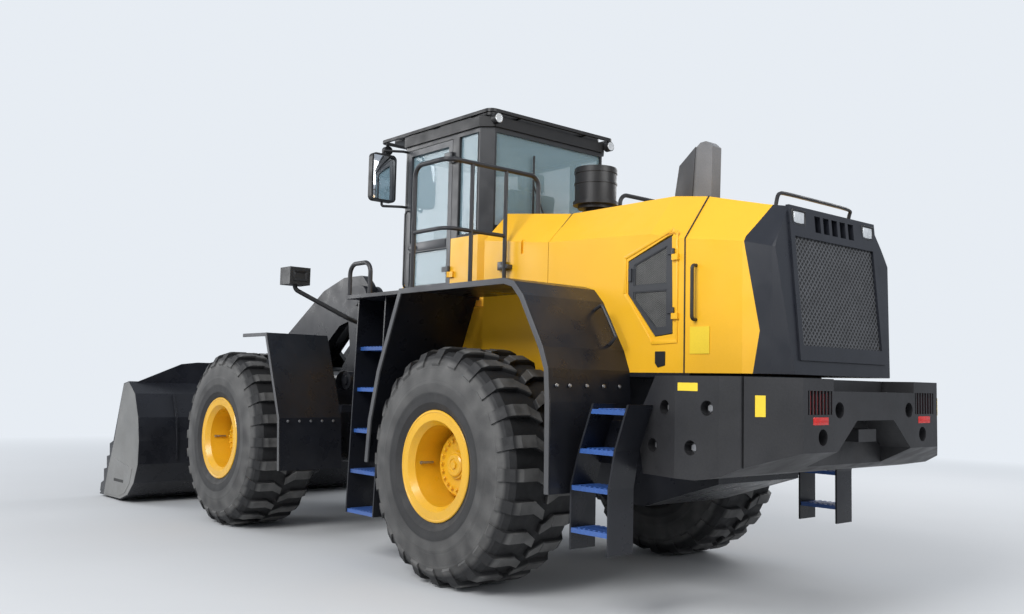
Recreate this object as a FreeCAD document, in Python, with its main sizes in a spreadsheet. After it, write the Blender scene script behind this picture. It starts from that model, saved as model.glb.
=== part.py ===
# Wheel loader of the nine tonne class, articulated at its middle.
# Row frame: +X towards the bucket, +Y to the driver's left, +Z up, origin on the ground
# under the middle of the machine.  All numbers are millimetres.

import FreeCAD, Part
import math
import operator
import os
import Sketcher
from FreeCAD import Placement, Rotation, Vector

SIZES = (
    # name, value, what it is
    ("rear_axle_x", -2077.5, "rear axle, from the middle of the machine's length"),
    ("wheelbase", 3700, "rear axle to front axle"),
    ("axle_height", 885, "axle above the ground, the loaded tyre radius"),
    ("half_track", 1225, "centre plane to a tyre's middle"),
    ("tyre_width", 750, "tyre across its sidewalls"),
    ("lug_height", 42, "depth of the tread between the lugs"),
    ("lug_half", 43, "half width of a tread lug"),
    ("rim_radius", 409, "rim flange radius of a 25 inch rim"),
    ("bead_radius", 330, "radius the tyre's bead sits on"),
    ("rim_width", 690, "rim across its flanges"),
    ("hub_radius", 250, "planetary hub in the rim"),
    ("hub_face", 120, "outer face of the hub, outboard of the tyre's middle"),
    ("spindle_radius", 120, "axle spindle inside the hub"),
    ("axle_tube_radius", 170, "axle housing beside its middle"),
    ("running_gap", 0.05, "radial play of a pin in its bore"),
    ("side_gap", 5, "play beside an eye between its ears"),
    ("frame_half", 480, "centre plane to the outside of the rear frame"),
    ("front_frame_half", 400, "centre plane to the outside of the front frame's main plates"),
    ("frame_plate", 50, "thickness of the frame plates"),
    ("frame_top", 1600, "top of both frames at the hinge"),
    ("frame_low", 690, "bottom of both frames at the hinge"),
    ("hinge_reach", 350, "hinge line to the end plate of either frame"),
    ("hinge_lug_radius", 150, "round end of the hinge lugs"),
    ("hinge_pin_radius", 60, "centre hinge pins"),
    ("hinge_lug", 80, "thickness of the rear frame's hinge lugs"),
    ("hinge_cheek", 60, "thickness of the front frame's hinge lugs"),
    ("upper_hinge_z", 1490, "middle of the upper hinge"),
    ("lower_hinge_z", 800, "middle of the lower hinge"),
    ("steer_pin_radius", 35, "steering cylinder pins"),
    ("steer_level", 1080, "height of the steering cylinders"),
    ("steer_base_back", 850, "hinge line back to the steering cylinders' base pins"),
    ("steer_base_side", 300, "centre plane to the steering cylinders' base pins"),
    ("steer_eye_ahead", 120, "hinge line forward to the steering rods' eyes"),
    ("steer_eye_side", 270, "centre plane to the steering rods' eyes"),
    ("steer_barrel_radius", 55, "steering cylinder barrel"),
    ("steer_rod_radius", 28, "steering cylinder rod"),
    ("boom_pivot_x", -900, "boom pivot, from the front axle"),
    ("boom_pivot_z", 2330, "boom pivot above the ground"),
    ("boom_pin_radius", 60, "boom pivot pins"),
    ("arm_inner", 405, "centre plane to the inside of a boom arm"),
    ("arm_width", 90, "thickness of a boom arm"),
    ("bucket_pin_x", 1670, "bucket hinge, from the front axle"),
    ("bucket_pin_z", 430, "bucket hinge above the ground"),
    ("bucket_pin_radius", 50, "bucket hinge pins"),
    ("lift_base_x", -1000, "lift cylinder base pin, from the front axle"),
    ("lift_base_z", 1500, "lift cylinder base pin above the ground"),
    ("lift_eye_x", 400, "lift rod eye, from the front axle"),
    ("lift_eye_z", 1480, "lift rod eye above the ground"),
    ("lift_side", 660, "centre plane to the lift cylinders"),
    ("lift_pin_radius", 45, "lift cylinder pins"),
    ("lift_barrel_radius", 95, "lift cylinder barrel"),
    ("lift_rod_radius", 55, "lift cylinder rod"),
    ("lift_barrel_length", 1200, "lift cylinder barrel, from its base pin"),
    ("crank_x", 711, "bell crank pivot, from the front axle"),
    ("crank_z", 1820, "bell crank pivot above the ground"),
    ("crank_pin_radius", 60, "bell crank pivot pin"),
    ("crank_top_x", 50, "bell crank's upper eye, from the front axle"),
    ("crank_top_z", 2276, "bell crank's upper eye above the ground"),
    ("crank_low_x", 1100, "bell crank's lower eye, from the front axle"),
    ("crank_low_z", 640, "bell crank's lower eye above the ground"),
    ("crank_plate", 50, "thickness of each bell crank plate"),
    ("link_half", 45, "half thickness of the tilt link"),
    ("link_pin_radius", 45, "pins of the tilt link"),
    ("link_eye_x", 1690, "tilt link's eye at the bucket, from the front axle"),
    ("link_eye_z", 735, "tilt link's eye at the bucket above the ground"),
    ("tilt_base_x", -700, "tilt cylinder base pin, from the front axle"),
    ("tilt_base_z", 2120, "tilt cylinder base pin above the ground"),
    ("tilt_barrel_radius", 110, "tilt cylinder barrel"),
    ("piston_radius", 85, "tilt cylinder piston"),
    ("tilt_rod_radius", 42, "tilt cylinder rod"),
    ("tilt_barrel_length", 550, "tilt cylinder barrel, from its base pin"),
    ("bucket_half", 1700, "half the bucket's width"),
    ("bucket_side", 40, "thickness of the bucket's side plates"),
    ("bucket_shell", 30, "thickness of the bucket's shell"),
    ("bucket_floor", 25, "underside of the bucket above the ground"),
    ("fender_outer", 1580, "centre plane to the outer edge of the fenders"),
    ("fender_sheet", 14, "thickness of the fender sheet"),
    ("front_fender_inner", 920, "centre plane to the inner edge of the front fenders"),
    ("hood_half", 800, "half width of the hood's lower side"),
    ("hood_wall", 30, "thickness of the hood's panels"),
    ("hood_front", -370, "seam between hood and front cowl, from the rear axle"),
    ("front_cowl_x", 414, "front of the front cowl, from the rear axle"),
    ("hood_rear", -1700, "seam between hood and rear cowl, from the rear axle"),
    ("grille_top_x", -2315, "top of the grille's rear face, from the rear axle"),
    ("grille_low_x", -2404, "bottom of the grille's rear face, from the rear axle"),
    ("grille_top", 2690, "top of the grille frame above the ground"),
    ("grille_low", 1690, "bottom of the grille frame above the ground"),
    ("grille_half", 535, "half width of the grille frame"),
    ("weight_rear", -2625, "rear face of the counterweight, from the rear axle"),
    ("weight_top", 1575, "top of the counterweight"),
    ("weight_half", 1250, "half width of the counterweight"),
    ("weight_low", 955, "underside of the counterweight's side blocks"),
    ("weight_tail_low", 1145, "lower edge of the counterweight's rear face"),
    ("cab_floor", 2150, "underside of the cab"),
    ("cab_top", 3700, "top of the cab's walls"),
    ("base_half", 700, "half width of the cab's base"),
    ("cab_half", 750, "half width of the cab"),
    ("cab_wall", 50, "thickness of the cab's walls and pillars"),
    ("cab_rear", 480, "rear wall of the cab, from the rear axle"),
    ("cab_front", 1950, "front of the cab, from the rear axle"),
    ("pillar_a", 1640, "rear face of the front door pillar, from the rear axle"),
    ("pillar_b", 950, "front face of the middle pillar, from the rear axle"),
    ("sill", 2450, "lower edge of the right hand window"),
    ("belt", 2780, "lower edge of the door's upper pane and of the rear side windows"),
    ("glass", 10, "thickness of the panes"),
    ("door_gap", 6, "gap round a door"),
    ("guard_rise", 148, "top of the roof guard above the cab's walls"),
    ("deck_top", 2230, "top of the decks beside the cab"),
    ("rail_tube", 19, "radius of the handrail tube"),
    ("rail_top", 3230, "top rail above the ground"),
)


class Value:
    """A number in millimetres together with the sheet formula that gives it."""

    def __init__(self, number, formula):
        self.number = number
        self.formula = formula

    def __add__(self, other):
        return combine("+", self, other)

    def __radd__(self, other):
        return combine("+", other, self)

    def __sub__(self, other):
        return combine("-", self, other)

    def __rsub__(self, other):
        return combine("-", other, self)

    def __mul__(self, other):
        return combine("*", self, other)

    def __rmul__(self, other):
        return combine("*", other, self)

    def __truediv__(self, other):
        return combine("/", self, other)

    def __neg__(self):
        return combine("*", -1, self)


OPERATIONS = {"+": operator.add, "-": operator.sub, "*": operator.mul, "/": operator.truediv}


def as_value(number):
    if isinstance(number, Value):
        return number
    return Value(number, repr(round(number, 6)))


def combine(sign, left, right):
    left = as_value(left)
    right = as_value(right)
    number = OPERATIONS[sign](left.number, right.number)
    return Value(number, "(" + left.formula + " " + sign + " " + right.formula + ")")


class SizeNames:
    """The named sizes, one attribute each."""


doc = FreeCAD.newDocument("WheelLoader")
sheet = doc.addObject("Spreadsheet::Sheet", "Sizes")
size = SizeNames()
for row, (name, number, meaning) in enumerate(SIZES, start=1):
    sheet.set("A" + str(row), meaning)
    sheet.set("B" + str(row), str(number))
    sheet.setAlias("B" + str(row), name)
    setattr(size, name, Value(number, "Sizes." + name))
doc.recompute()

rear = size.rear_axle_x
front = rear + size.wheelbase
hinge = rear + size.wheelbase / 2
arm_outer = size.arm_inner + size.arm_width
boom_pivot = (front + size.boom_pivot_x, size.boom_pivot_z)
bucket_pin = (front + size.bucket_pin_x, size.bucket_pin_z)
lift_base = (front + size.lift_base_x, size.lift_base_z)
lift_eye = (front + size.lift_eye_x, size.lift_eye_z)
crank_pivot = (front + size.crank_x, size.crank_z)
crank_top = (front + size.crank_top_x, size.crank_top_z)
crank_low = (front + size.crank_low_x, size.crank_low_z)
link_eye = (front + size.link_eye_x, size.link_eye_z)
tilt_base = (front + size.tilt_base_x, size.tilt_base_z)
link_ear_inner = size.link_half + size.side_gap
link_ear_outer = link_ear_inner + size.crank_plate
crank_ear_low = link_ear_outer + size.side_gap + 10
crank_ear_high = crank_ear_low + size.crank_plate
roof_top = size.cab_top + size.guard_rise
tail = rear - 1750
nodes = []


def bind(item, prop, value):
    value = as_value(value)
    if "Sizes." in value.formula:
        item.setExpression(prop, value.formula)


def node(name, item):
    """Registers the object that becomes one sub-part."""
    item.Label = name
    nodes.append(item)
    return item


def put(item, place, turn=None):
    """Gives an object its Placement, bound to the sheet."""
    numbers = [as_value(value).number for value in place]
    item.Placement = Placement(Vector(*numbers), turn if turn else Rotation())
    for axis, value in zip("xyz", place):
        bind(item, "Placement.Base." + axis, value)
    return item


def box(label, low, high):
    item = doc.addObject("Part::Box", "Box")
    item.Label = label
    for prop, start, end in zip(("Length", "Width", "Height"), low, high):
        length = as_value(end) - start
        setattr(item, prop, length.number)
        bind(item, prop, length)
    return put(item, low)


AXIS_TURNS = {
    "X": Rotation(Vector(0, 1, 0), 90),
    "Y": Rotation(Vector(1, 0, 0), -90),
    "Z": Rotation(),
}


def rod(label, axis, start, radius, length):
    """A cylinder that starts at a point and runs along +X, +Y or +Z."""
    item = doc.addObject("Part::Cylinder", "Cylinder")
    item.Label = label
    for prop, value in (("Radius", radius), ("Height", length)):
        setattr(item, prop, as_value(value).number)
        bind(item, prop, value)
    return put(item, start, AXIS_TURNS[axis])


def cross_pin(label, spot, radius, low, high):
    """A cylinder across the machine at (x, z), from y = low to y = high."""
    return rod(label, "Y", (spot[0], low, spot[1]), radius, as_value(high) - low)


def upright_pin(label, spot, radius, low, high):
    """A cylinder at (x, y), from z = low to z = high."""
    return rod(label, "Z", (spot[0], spot[1], low), radius, as_value(high) - low)


def fuse(label, *items):
    item = doc.addObject("Part::MultiFuse", "Fusion")
    item.Label = label
    item.Shapes = list(items)
    item.Refine = True
    return item


def cut(label, base, *tools):
    item = doc.addObject("Part::Cut", "Cut")
    item.Label = label
    item.Base = base
    item.Tool = tools[0] if len(tools) == 1 else fuse(label + " tools", *tools)
    return item


def group(label, *items):
    """Like pieces of one body that do not touch each other."""
    item = doc.addObject("Part::Compound", "Group")
    item.Label = label
    item.Links = list(items)
    return item


def mirror(item):
    """The same piece on the other side of the machine."""
    other = doc.addObject("Part::Mirroring", "Mirror")
    other.Source = item
    other.Normal = Vector(0, 1, 0)
    other.Label = item.Label + " other side"
    return other


def both_sides(label, item):
    return group(label, item, mirror(item))


# Planes: the origin plane's role, and whether its normal points along its row axis.
PLANES = {"XY": ("XY_Plane", 1), "XZ": ("XZ_Plane", -1), "YZ": ("YZ_Plane", 1)}
ORIGIN_POINT = (-1, 1)


def sketch_on(body, plane, outline, offset):
    """A closed outline of straight lines, each corner held by two bound dimensions."""
    sketch = body.newObject("Sketcher::SketchObject", "Outline")
    role = PLANES[plane][0]
    plane_object = [item for item in body.Origin.OriginFeatures if item.Role == role][0]
    sketch.AttachmentSupport = (plane_object, "")
    sketch.MapMode = "FlatFace"
    offset = as_value(offset)
    sketch.AttachmentOffset = Placement(Vector(0, 0, offset.number), Rotation())
    bind(sketch, "AttachmentOffset.Base.z", offset)
    corners = [(as_value(across), as_value(up)) for across, up in outline]
    spots = [Vector(across.number, up.number, 0) for across, up in corners]
    count = len(spots)
    for index in range(count):
        sketch.addGeometry(Part.LineSegment(spots[index], spots[(index + 1) % count]))
    for index in range(count):
        sketch.addConstraint(Sketcher.Constraint("Coincident", index, 2, (index + 1) % count, 1))
    for index, corner in enumerate(corners):
        for kind, value in zip(("DistanceX", "DistanceY"), corner):
            number = sketch.addConstraint(
                Sketcher.Constraint(kind, *ORIGIN_POINT, index, 1, value.number))
            bind(sketch, "Constraints[" + str(number) + "]", value)
    return sketch


def edges_at(shape, spot, axis):
    """Names of the edges along an axis (0, 1, 2) that pass a spot in the other two."""
    names = []
    others = [index for index in range(3) if index != axis]
    for number, edge in enumerate(shape.Edges, start=1):
        ends = [vertex.Point for vertex in edge.Vertexes]
        if len(ends) == 2 and all(
                abs(end[index] - at) < 0.01 for end in ends for index, at in zip(others, spot)):
            names.append("Edge" + str(number))
    return names


def prism(label, plane, outline, start, end, rounds=()):
    """An outline padded between two planes.  rounds: (corner numbers, radius)."""
    body = doc.addObject("PartDesign::Body", "Body")
    body.Label = label
    start = as_value(start)
    end = as_value(end)
    along = PLANES[plane][1]
    sketch = sketch_on(body, plane, outline, start if along > 0 else -end)
    pad = body.newObject("PartDesign::Pad", "Pad")
    pad.Profile = sketch
    length = end - start
    pad.Length = length.number
    bind(pad, "Length", length)
    sketch.Visibility = False
    body.recompute(True)
    axis = "XYZ".index([letter for letter in "XYZ" if letter not in plane][0])
    tip = pad
    for corners, radius in rounds:
        names = []
        for corner in corners:
            spot = [as_value(value).number for value in outline[corner]]
            names += edges_at(tip.Shape, spot, axis)
        rounding = body.newObject("PartDesign::Fillet", "Round")
        rounding.Base = (tip, names)
        rounding.Radius = as_value(radius).number
        bind(rounding, "Radius", radius)
        body.recompute(True)
        tip = rounding
    body.Tip = tip
    return body


def turned(label, plane, outline, place):
    """An outline of (radius, along) turned about its own upright axis, then placed."""
    body = doc.addObject("PartDesign::Body", "Body")
    body.Label = label
    sketch = sketch_on(body, plane, outline, 0)
    turn = body.newObject("PartDesign::Revolution", "Revolution")
    turn.Profile = sketch
    turn.ReferenceAxis = (sketch, ["V_Axis"])
    turn.Angle = 360
    sketch.Visibility = False
    body.recompute(True)
    body.Tip = turn
    return put(body, place)


def lofted(label, sections, hollow=(), plane="YZ"):
    """Straight faces through sections of one plane.  Section: (place, outline)."""
    body = doc.addObject("PartDesign::Body", "Body")
    body.Label = label
    for kind, rows in (("AdditiveLoft", sections), ("SubtractiveLoft", hollow)):
        if not rows:
            continue
        sketches = [sketch_on(body, plane, outline, place) for place, outline in rows]
        loft = body.newObject("PartDesign::" + kind, "Loft")
        loft.Profile = sketches[0]
        loft.Sections = sketches[1:]
        loft.Ruled = True
        for sketch in sketches:
            sketch.Visibility = False
        body.recompute(True)
        body.Tip = loft
    return body


def symmetric(outline):
    """Closes a half outline, listed from the bottom up at y > 0, with its mirror image."""
    return list(outline) + [(-as_value(across), up) for across, up in reversed(outline)]


def ring_of(label, item, count, start):
    """Copies of an item turned about the row's Y axis, as one group."""
    copies = doc.addObject("Part::Feature", "Ring")
    copies.Label = label
    turned_shapes = []
    for index in range(count):
        shape = item.Shape.copy()
        shape.rotate(Vector(), Vector(0, 1, 0), start + index * 360 / count)
        turned_shapes.append(shape)
    copies.Shape = Part.makeCompound(turned_shapes)
    return copies


def copy_of(label, item, place):
    """The same solid again, at its own place."""
    return put(group(label, item), place)


def strip(points, thickness):
    """A bent sheet's outline: the points, then the same points one thickness inwards."""
    numbers = [(as_value(a).number, as_value(b).number) for a, b in points]
    inner = []
    last = len(points) - 1
    for index, (across, up) in enumerate(points):
        normals = []
        for first in (index - 1, index):
            if 0 <= first < last:
                (x0, y0), (x1, y1) = numbers[first], numbers[first + 1]
                length = math.hypot(x1 - x0, y1 - y0)
                normals.append(((y1 - y0) / length, -(x1 - x0) / length))
        mean = [sum(normal[axis] for normal in normals) / len(normals) for axis in (0, 1)]
        square = mean[0] ** 2 + mean[1] ** 2
        inner.append((across + thickness * (mean[0] / square), up + thickness * (mean[1] / square)))
    return list(points) + inner[::-1]


def pipe(label, points, radius, bend):
    """A round tube through points, its corners bent to one radius."""
    spots = [Vector(*[as_value(value).number for value in point]) for point in points]
    edges = []
    here = spots[0]
    for before, corner, after in zip(spots, spots[1:], spots[2:]):
        back = (before - corner).normalize()
        ahead = (after - corner).normalize()
        half = back.getAngle(ahead) / 2
        reach = bend / math.tan(half)
        start = corner + back * reach
        end = corner + ahead * reach
        middle = corner + (back + ahead).normalize() * (bend / math.sin(half) - bend)
        edges.append(Part.LineSegment(here, start).toShape())
        edges.append(Part.Arc(start, middle, end).toShape())
        here = end
    edges.append(Part.LineSegment(here, spots[-1]).toShape())
    spine = Part.Wire(edges)
    ring = Part.Wire(Part.makeCircle(as_value(radius).number, spots[0], spots[1] - spots[0]))
    item = doc.addObject("Part::Feature", "Tube")
    item.Label = label
    item.Shape = spine.makePipeShell([ring], True, False)
    return item


def shifted(points, x, z):
    """Outline points (along, up) counted from a datum."""
    return [(x + along, z + up) for along, up in points]


def eye_plate(label, first, first_radius, second, second_radius, low, high):
    """A flat link with a round end at each of two (x, z) spots."""
    spots = [(as_value(x).number, as_value(z).number) for x, z in (first, second)]
    run = math.hypot(spots[1][0] - spots[0][0], spots[1][1] - spots[0][1])
    across = ((spots[0][1] - spots[1][1]) / run, (spots[1][0] - spots[0][0]) / run)
    corners = []
    for (x, z), radius, side in ((first, first_radius, 1), (second, second_radius, 1),
                                 (second, second_radius, -1), (first, first_radius, -1)):
        corners.append((x + radius * (across[0] * side), z + radius * (across[1] * side)))
    return fuse(label,
                prism(label + " web", "XZ", corners, low, high),
                cross_pin(label + " end", first, first_radius, low, high),
                cross_pin(label + " far end", second, second_radius, low, high))


# Wheels

LUGS_A_SIDE = 24


def tyre():
    """One tyre about the row's origin: a carcass with bent lugs from the middle to the shoulders."""
    half = size.tyre_width / 2
    tip = size.axle_height
    crown = tip - size.lug_height
    shoulder = half - 75
    carcass = turned("carcass", "XY", symmetric_turn([
        # radius, outboard of the tyre's middle
        (size.bead_radius, size.rim_width / 2 - 12),
        (size.rim_radius, size.rim_width / 2 - 12),
        (size.rim_radius + 60, half - 8),
        (size.rim_radius + 200, half),
        (tip - 150, half - 18),
        (crown - 25, half - 62),
        (crown, shoulder - 30)]), (0, 0, 0))
    outer = prism("outer lug", "YZ", [
        # outboard of the tyre's middle, radius
        (size.lug_half * 2.4, crown - 25), (size.lug_half * 2.4, tip - 1), (shoulder - 60, tip - 1),
        (shoulder, tip - 23), (half - 10, tip - 130), (half - 26, tip - 160), (shoulder, crown - 40)],
        -size.lug_half, size.lug_half)
    lean = 60
    inner = prism("inner lug", "XY", [
        # along the tread, outboard of the tyre's middle
        (-size.lug_half, size.lug_half * 2.5), (size.lug_half, size.lug_half * 2.5),
        (size.lug_half - 8 - lean, 8), (8 - size.lug_half - lean, 8)], crown - 25, tip - 6)
    lug = fuse("lug", outer, inner)
    doc.recompute()
    far_lug = mirror(lug)
    doc.recompute()
    half_pitch = 180 / LUGS_A_SIDE
    return fuse("tyre", carcass, ring_of("lugs", lug, LUGS_A_SIDE, 0),
                ring_of("far lugs", far_lug, LUGS_A_SIDE, half_pitch))


def symmetric_turn(outline):
    """Closes half an outline of (radius, along) with its mirror image."""
    return list(outline) + [(radius, -as_value(along)) for radius, along in reversed(outline)]


def wheel(tag, axle_x, side, tyre_solid):
    """One tyre and one rim.  side is +1 on the left and -1 on the right."""
    place = (axle_x, size.half_track * side, size.axle_height)
    node("tyre_" + tag, copy_of("tyre " + tag, tyre_solid, place))
    out = size.rim_width / 2
    barrel = size.bead_radius - 18
    rim_outline = [
        # radius, outboard of the tyre's middle
        (size.spindle_radius + size.running_gap, 60 - out),
        (size.hub_radius, 60 - out),
        (size.hub_radius, -80),
        (barrel - 12, -80),
        (barrel - 12, -out),
        (size.rim_radius, -out),
        (size.rim_radius, 12 - out),
        (size.bead_radius, 12 - out),
        (size.bead_radius, out - 12),
        (size.rim_radius, out - 12),
        (size.rim_radius, out),
        (size.bead_radius + 5, out),
        (barrel - 12, out - 45),
        (barrel - 12, -50),
        (size.hub_radius + 20, -50),
        (size.hub_radius, size.hub_face - 30),
        (size.hub_radius - 25, size.hub_face),
        (size.spindle_radius - 10, size.hub_face),
        (size.spindle_radius - 20, size.hub_face + 25),
        (0, size.hub_face + 25),
        (0, size.hub_face - 40),
        (size.spindle_radius + size.running_gap, size.hub_face - 40),
    ]
    if side < 0:
        rim_outline = [(radius, -along) for radius, along in rim_outline]
    node("rim_" + tag, turned("rim " + tag, "XY", rim_outline, place))


def axle(name, x):
    """A housing with its differential, two tapered arms, brake drums and spindles."""
    drum = size.half_track - size.rim_width / 2 + 55
    half = [
        # radius, from the centre plane outwards
        (300, 0),
        (285, 130),
        (size.axle_tube_radius + 40, 230),
        (size.axle_tube_radius, 330),
        (size.axle_tube_radius, drum - 170),
        (size.hub_radius - 10, drum - 150),
        (size.hub_radius - 10, drum),
        (size.spindle_radius, drum),
        (size.spindle_radius, size.half_track + size.hub_face - 60),
        (0, size.half_track + size.hub_face - 60),
    ]
    outline = half + [(radius, -along) for radius, along in reversed(half[1:])]
    return turned(name, "XY", outline, (x, 0, size.axle_height))


# Rear frame

def rear_frame():
    inner = size.frame_half - size.frame_plate
    nose = hinge - size.hinge_reach
    arch = size.axle_height + 315
    belly = [(rear - 700, 650), (rear - 1090, 640), (tail, size.weight_low - 100)]
    rail = prism("rear rail", "XZ", [
        (nose, size.frame_low), (rear + 450, size.frame_low), (rear + 380, arch), (rear - 420, arch),
        (rear - 560, 760)] + belly + [(tail, size.frame_top), (nose, size.frame_top)],
        inner, size.frame_half, rounds=[((2, 3), 60)])
    pieces = [rail, mirror(rail)]
    pieces.append(prism("belly plate", "XZ", strip(belly, 20), -inner, inner))
    nose_plate = box("nose plate", (nose - size.frame_plate, -inner, size.frame_low),
                     (nose, inner, size.frame_top))
    reach = size.steer_barrel_radius + 75
    openings = [box("steering opening " + str(side),
                    (nose - 2 * size.frame_plate,
                     (size.steer_base_side - reach) * side if side > 0 else -size.steer_base_side - reach,
                     size.steer_level - reach),
                    (nose + 50,
                     size.steer_base_side + reach if side > 0 else reach - size.steer_base_side,
                     size.steer_level + reach)) for side in (1, -1)]
    pieces.append(cut("nose plate with openings", nose_plate, *openings))
    for z in (size.upper_hinge_z, size.lower_hinge_z):
        low = z - size.hinge_lug / 2
        lug = prism("hinge lug", "XY", [
            (nose - size.frame_plate, inner), (nose, inner), (hinge, size.hinge_lug_radius),
            (hinge + size.hinge_lug_radius, size.hinge_lug_radius),
            (hinge + size.hinge_lug_radius, -size.hinge_lug_radius), (hinge, -size.hinge_lug_radius),
            (nose, -inner), (nose - size.frame_plate, -inner)],
            low, z + size.hinge_lug / 2, rounds=[((3, 4), size.hinge_lug_radius - 1)])
        pieces.append(lug)
    cross = (
        # front x, rear x, low z, high z of each plate between the rails
        (rear + 1150, rear + 550, size.frame_low, size.frame_low + 40),
        (rear + 420, rear + 360, size.axle_height - 190, arch + 150),
        (rear - 360, rear - 420, size.axle_height - 190, arch + 150),
        (tail + 60, tail, size.weight_low - 100, size.frame_top),
    )
    for front_x, rear_x, low, high in cross:
        pieces.append(box("cross plate", (rear_x, -inner, low), (front_x, inner, high)))
    for y, far_y in ((size.frame_half - size.frame_plate, size.hood_half),
                     (-size.hood_half, size.frame_plate - size.frame_half)):
        pieces.append(box("hood shelf", (tail, y, size.frame_top - 30),
                          (rear + 380, far_y, size.frame_top)))
    for side in (1, -1):
        low_y = size.steer_base_side - 60
        for z in (size.steer_level - 75, size.steer_level + 45):
            start = (hinge - size.steer_base_back - 60, low_y if side > 0 else -inner, z)
            end = (hinge - size.steer_base_back + 60, inner if side > 0 else -low_y, z + 30)
            pieces.append(box("steering ear", start, end))
        pieces.append(upright_pin("steering pin",
                                  (hinge - size.steer_base_back, size.steer_base_side * side),
                                  size.steer_pin_radius, size.steer_level - 90, size.steer_level + 90))
    body = fuse("rear frame body", *pieces)
    bores = [upright_pin("hinge bore", (hinge, 0), size.hinge_pin_radius,
                         size.frame_low, size.frame_top)]
    bores.append(rod("axle trunnion bore", "X", (rear - 500, 0, size.axle_height), 130, 1000))
    node("rear_frame", cut("rear frame", body, *bores))
    housing = axle("rear axle housing", rear)
    trunnion = rod("axle trunnion", "X", (rear - 420, 0, size.axle_height), 130, 840)
    node("rear_axle", fuse("rear axle", housing, trunnion))
    pins = [upright_pin("hinge pin", (hinge, 0), size.hinge_pin_radius, z - 120, z + 120)
            for z in (size.upper_hinge_z, size.lower_hinge_z)]
    node("hinge_pins", group("hinge pins", *pins))


def power_train():
    inner = size.frame_half - size.frame_plate
    node("engine_block", box("engine block", (rear - 1650, -inner, 1230), (rear - 480, inner, 2250)))
    node("transmission", fuse("transmission",
         box("gear case", (rear + 480, -190, size.frame_low + 40), (rear + 1100, 190, 1450)),
         box("gear case feet", (rear + 600, -inner, 1300), (rear + 760, inner, 1380))))


WEIGHT_SECTIONS = (
    # height, x of the side block's front edge from the rear axle
    (955, -1680), (1290, -1625), (1575, -1777),
)
ROUND_POCKETS = (
    # axis, x from the rear axle, y, z of the round pockets in the counterweight
    ("Y", -2240, 1190, 1385), ("Y", -2119, 1190, 1145), ("Y", -1898, 1150, 1380),
    ("Y", -1782, 1130, 1141), ("X", -2640, 437, 1385), ("X", -2640, 625, 1222),
)


def counterweight():
    back = rear + size.weight_rear
    sections = []
    for z, front_x in WEIGHT_SECTIONS:
        front_x = rear + front_x
        face = [
            # x, y of the left half, from the frame round to the back
            (tail, size.frame_half - size.frame_plate), (tail, 850), (front_x, 870),
            (front_x, size.weight_half - 80), (rear - 2000, size.weight_half),
            (rear - 2330, size.weight_half), (rear - 2450, size.weight_half - 45), (back, 840)]
        sections.append((z, face + [(x, -as_value(y)) for x, y in reversed(face)]))
    sections[0] = (size.weight_low, sections[0][1])
    sections[-1] = (size.weight_top, sections[-1][1])
    block = lofted("weight block", sections, plane="XY")
    slope = prism("weight underside", "XZ", [
        (rear - 2150, size.weight_low - 50), (rear - 2150, size.weight_low),
        (rear - 2340, size.weight_low + 37), (back - 30, size.weight_tail_low + 2),
        (back - 30, size.weight_low - 50)], -size.weight_half - 50, size.weight_half + 50)
    low_top = box("lowered middle", (back - 10, -505, size.weight_top - 75),
                  (back + 230, 505, size.weight_top + 10))
    notch = prism("hitch notch", "YZ", [
        (-460, size.weight_low - 50), (-460, 1130), (-230, 1320), (230, 1320), (460, 1130),
        (460, size.weight_low - 50)], back - 10, back + 220)
    tools = [slope, low_top, notch, upright_pin("pin passage", (back + 120, 0), 40, 1300, 1600)]
    for side in (1, -1):
        for axis, x, y, z in ROUND_POCKETS:
            if axis == "X":
                tools.append(rod("bolt pocket", "X", (rear + x, y * side, z), 50, 100))
            else:
                start = y if side > 0 else -y - 100
                tools.append(rod("bolt pocket", "Y", (rear + x, start, z), 45, 100))
        groove_y = 1180 if side > 0 else -1260
        tools.append(box("groove", (rear - 2458, groove_y, 900), (rear - 2449, groove_y + 80, 1600)))
    weight = cut("weight shaped", block, *tools)
    tongue = box("hitch tongue", (back + 60, -110, 1180), (back + 360, 110, 1260))
    bore = upright_pin("hitch bore", (back + 120, 0), 30, 1100, 1300)
    pockets = []
    louvres = []
    lamps = []
    for side in (1, -1):
        low_y = 522 if side > 0 else -787
        pockets.append(box("lamp pocket", (back - 10, low_y, 1358), (back + 60, low_y + 265, 1501)))
        lamps.append(box("tail lamp", (back + 30, low_y, 1358), (back + 60, low_y + 265, 1501)))
        for index in range(7):
            bar_y = low_y + 15 + index * 37
            louvres.append(box("louvre", (back + 2, bar_y, 1350), (back + 16, bar_y + 12, 1510)))
    solid = cut("weight with pockets", fuse("weight and tongue", weight, tongue), bore, *pockets)
    node("counterweight", fuse("counterweight", solid, *louvres))
    return lamps


HOOD_SECTIONS = (
    # x from the rear axle, shoulder z, shoulder half width, top edge z, top edge half width
    (-370, 2600, 790, 2858, 548),
    (-1400, 2560, 790, 2862, 548),
    (-1700, 2500, 780, 2822, 545),
)
COWL_SECTIONS = (
    # x from the rear axle, half width below, shoulder z, top edge z, top edge half width
    (-1700, 800, 2500, 2822, 545),
    (-2160, 792, 2440, 2712, 530),
    (-2330, 720, 2400, 2680, 515),
    (-2430, 560, 2380, 2660, 480),
)
COWL_SEAM = (
    # x from the rear axle and z of the bent seam between yellow cowl and dark shroud
    (-2245, 2900), (-2162, 2477), (-2261, 1870), (-2207, 1500),
)
VENT_PANES = (
    # x from the rear axle and z of the two mesh panes in a vent door
    ((-1250, 2355), (-1553, 2465), (-1553, 2205), (-1250, 2205)),
    ((-1250, 2165), (-1553, 2165), (-1553, 1905), (-1462, 1895), (-1250, 2120)),
)


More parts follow.
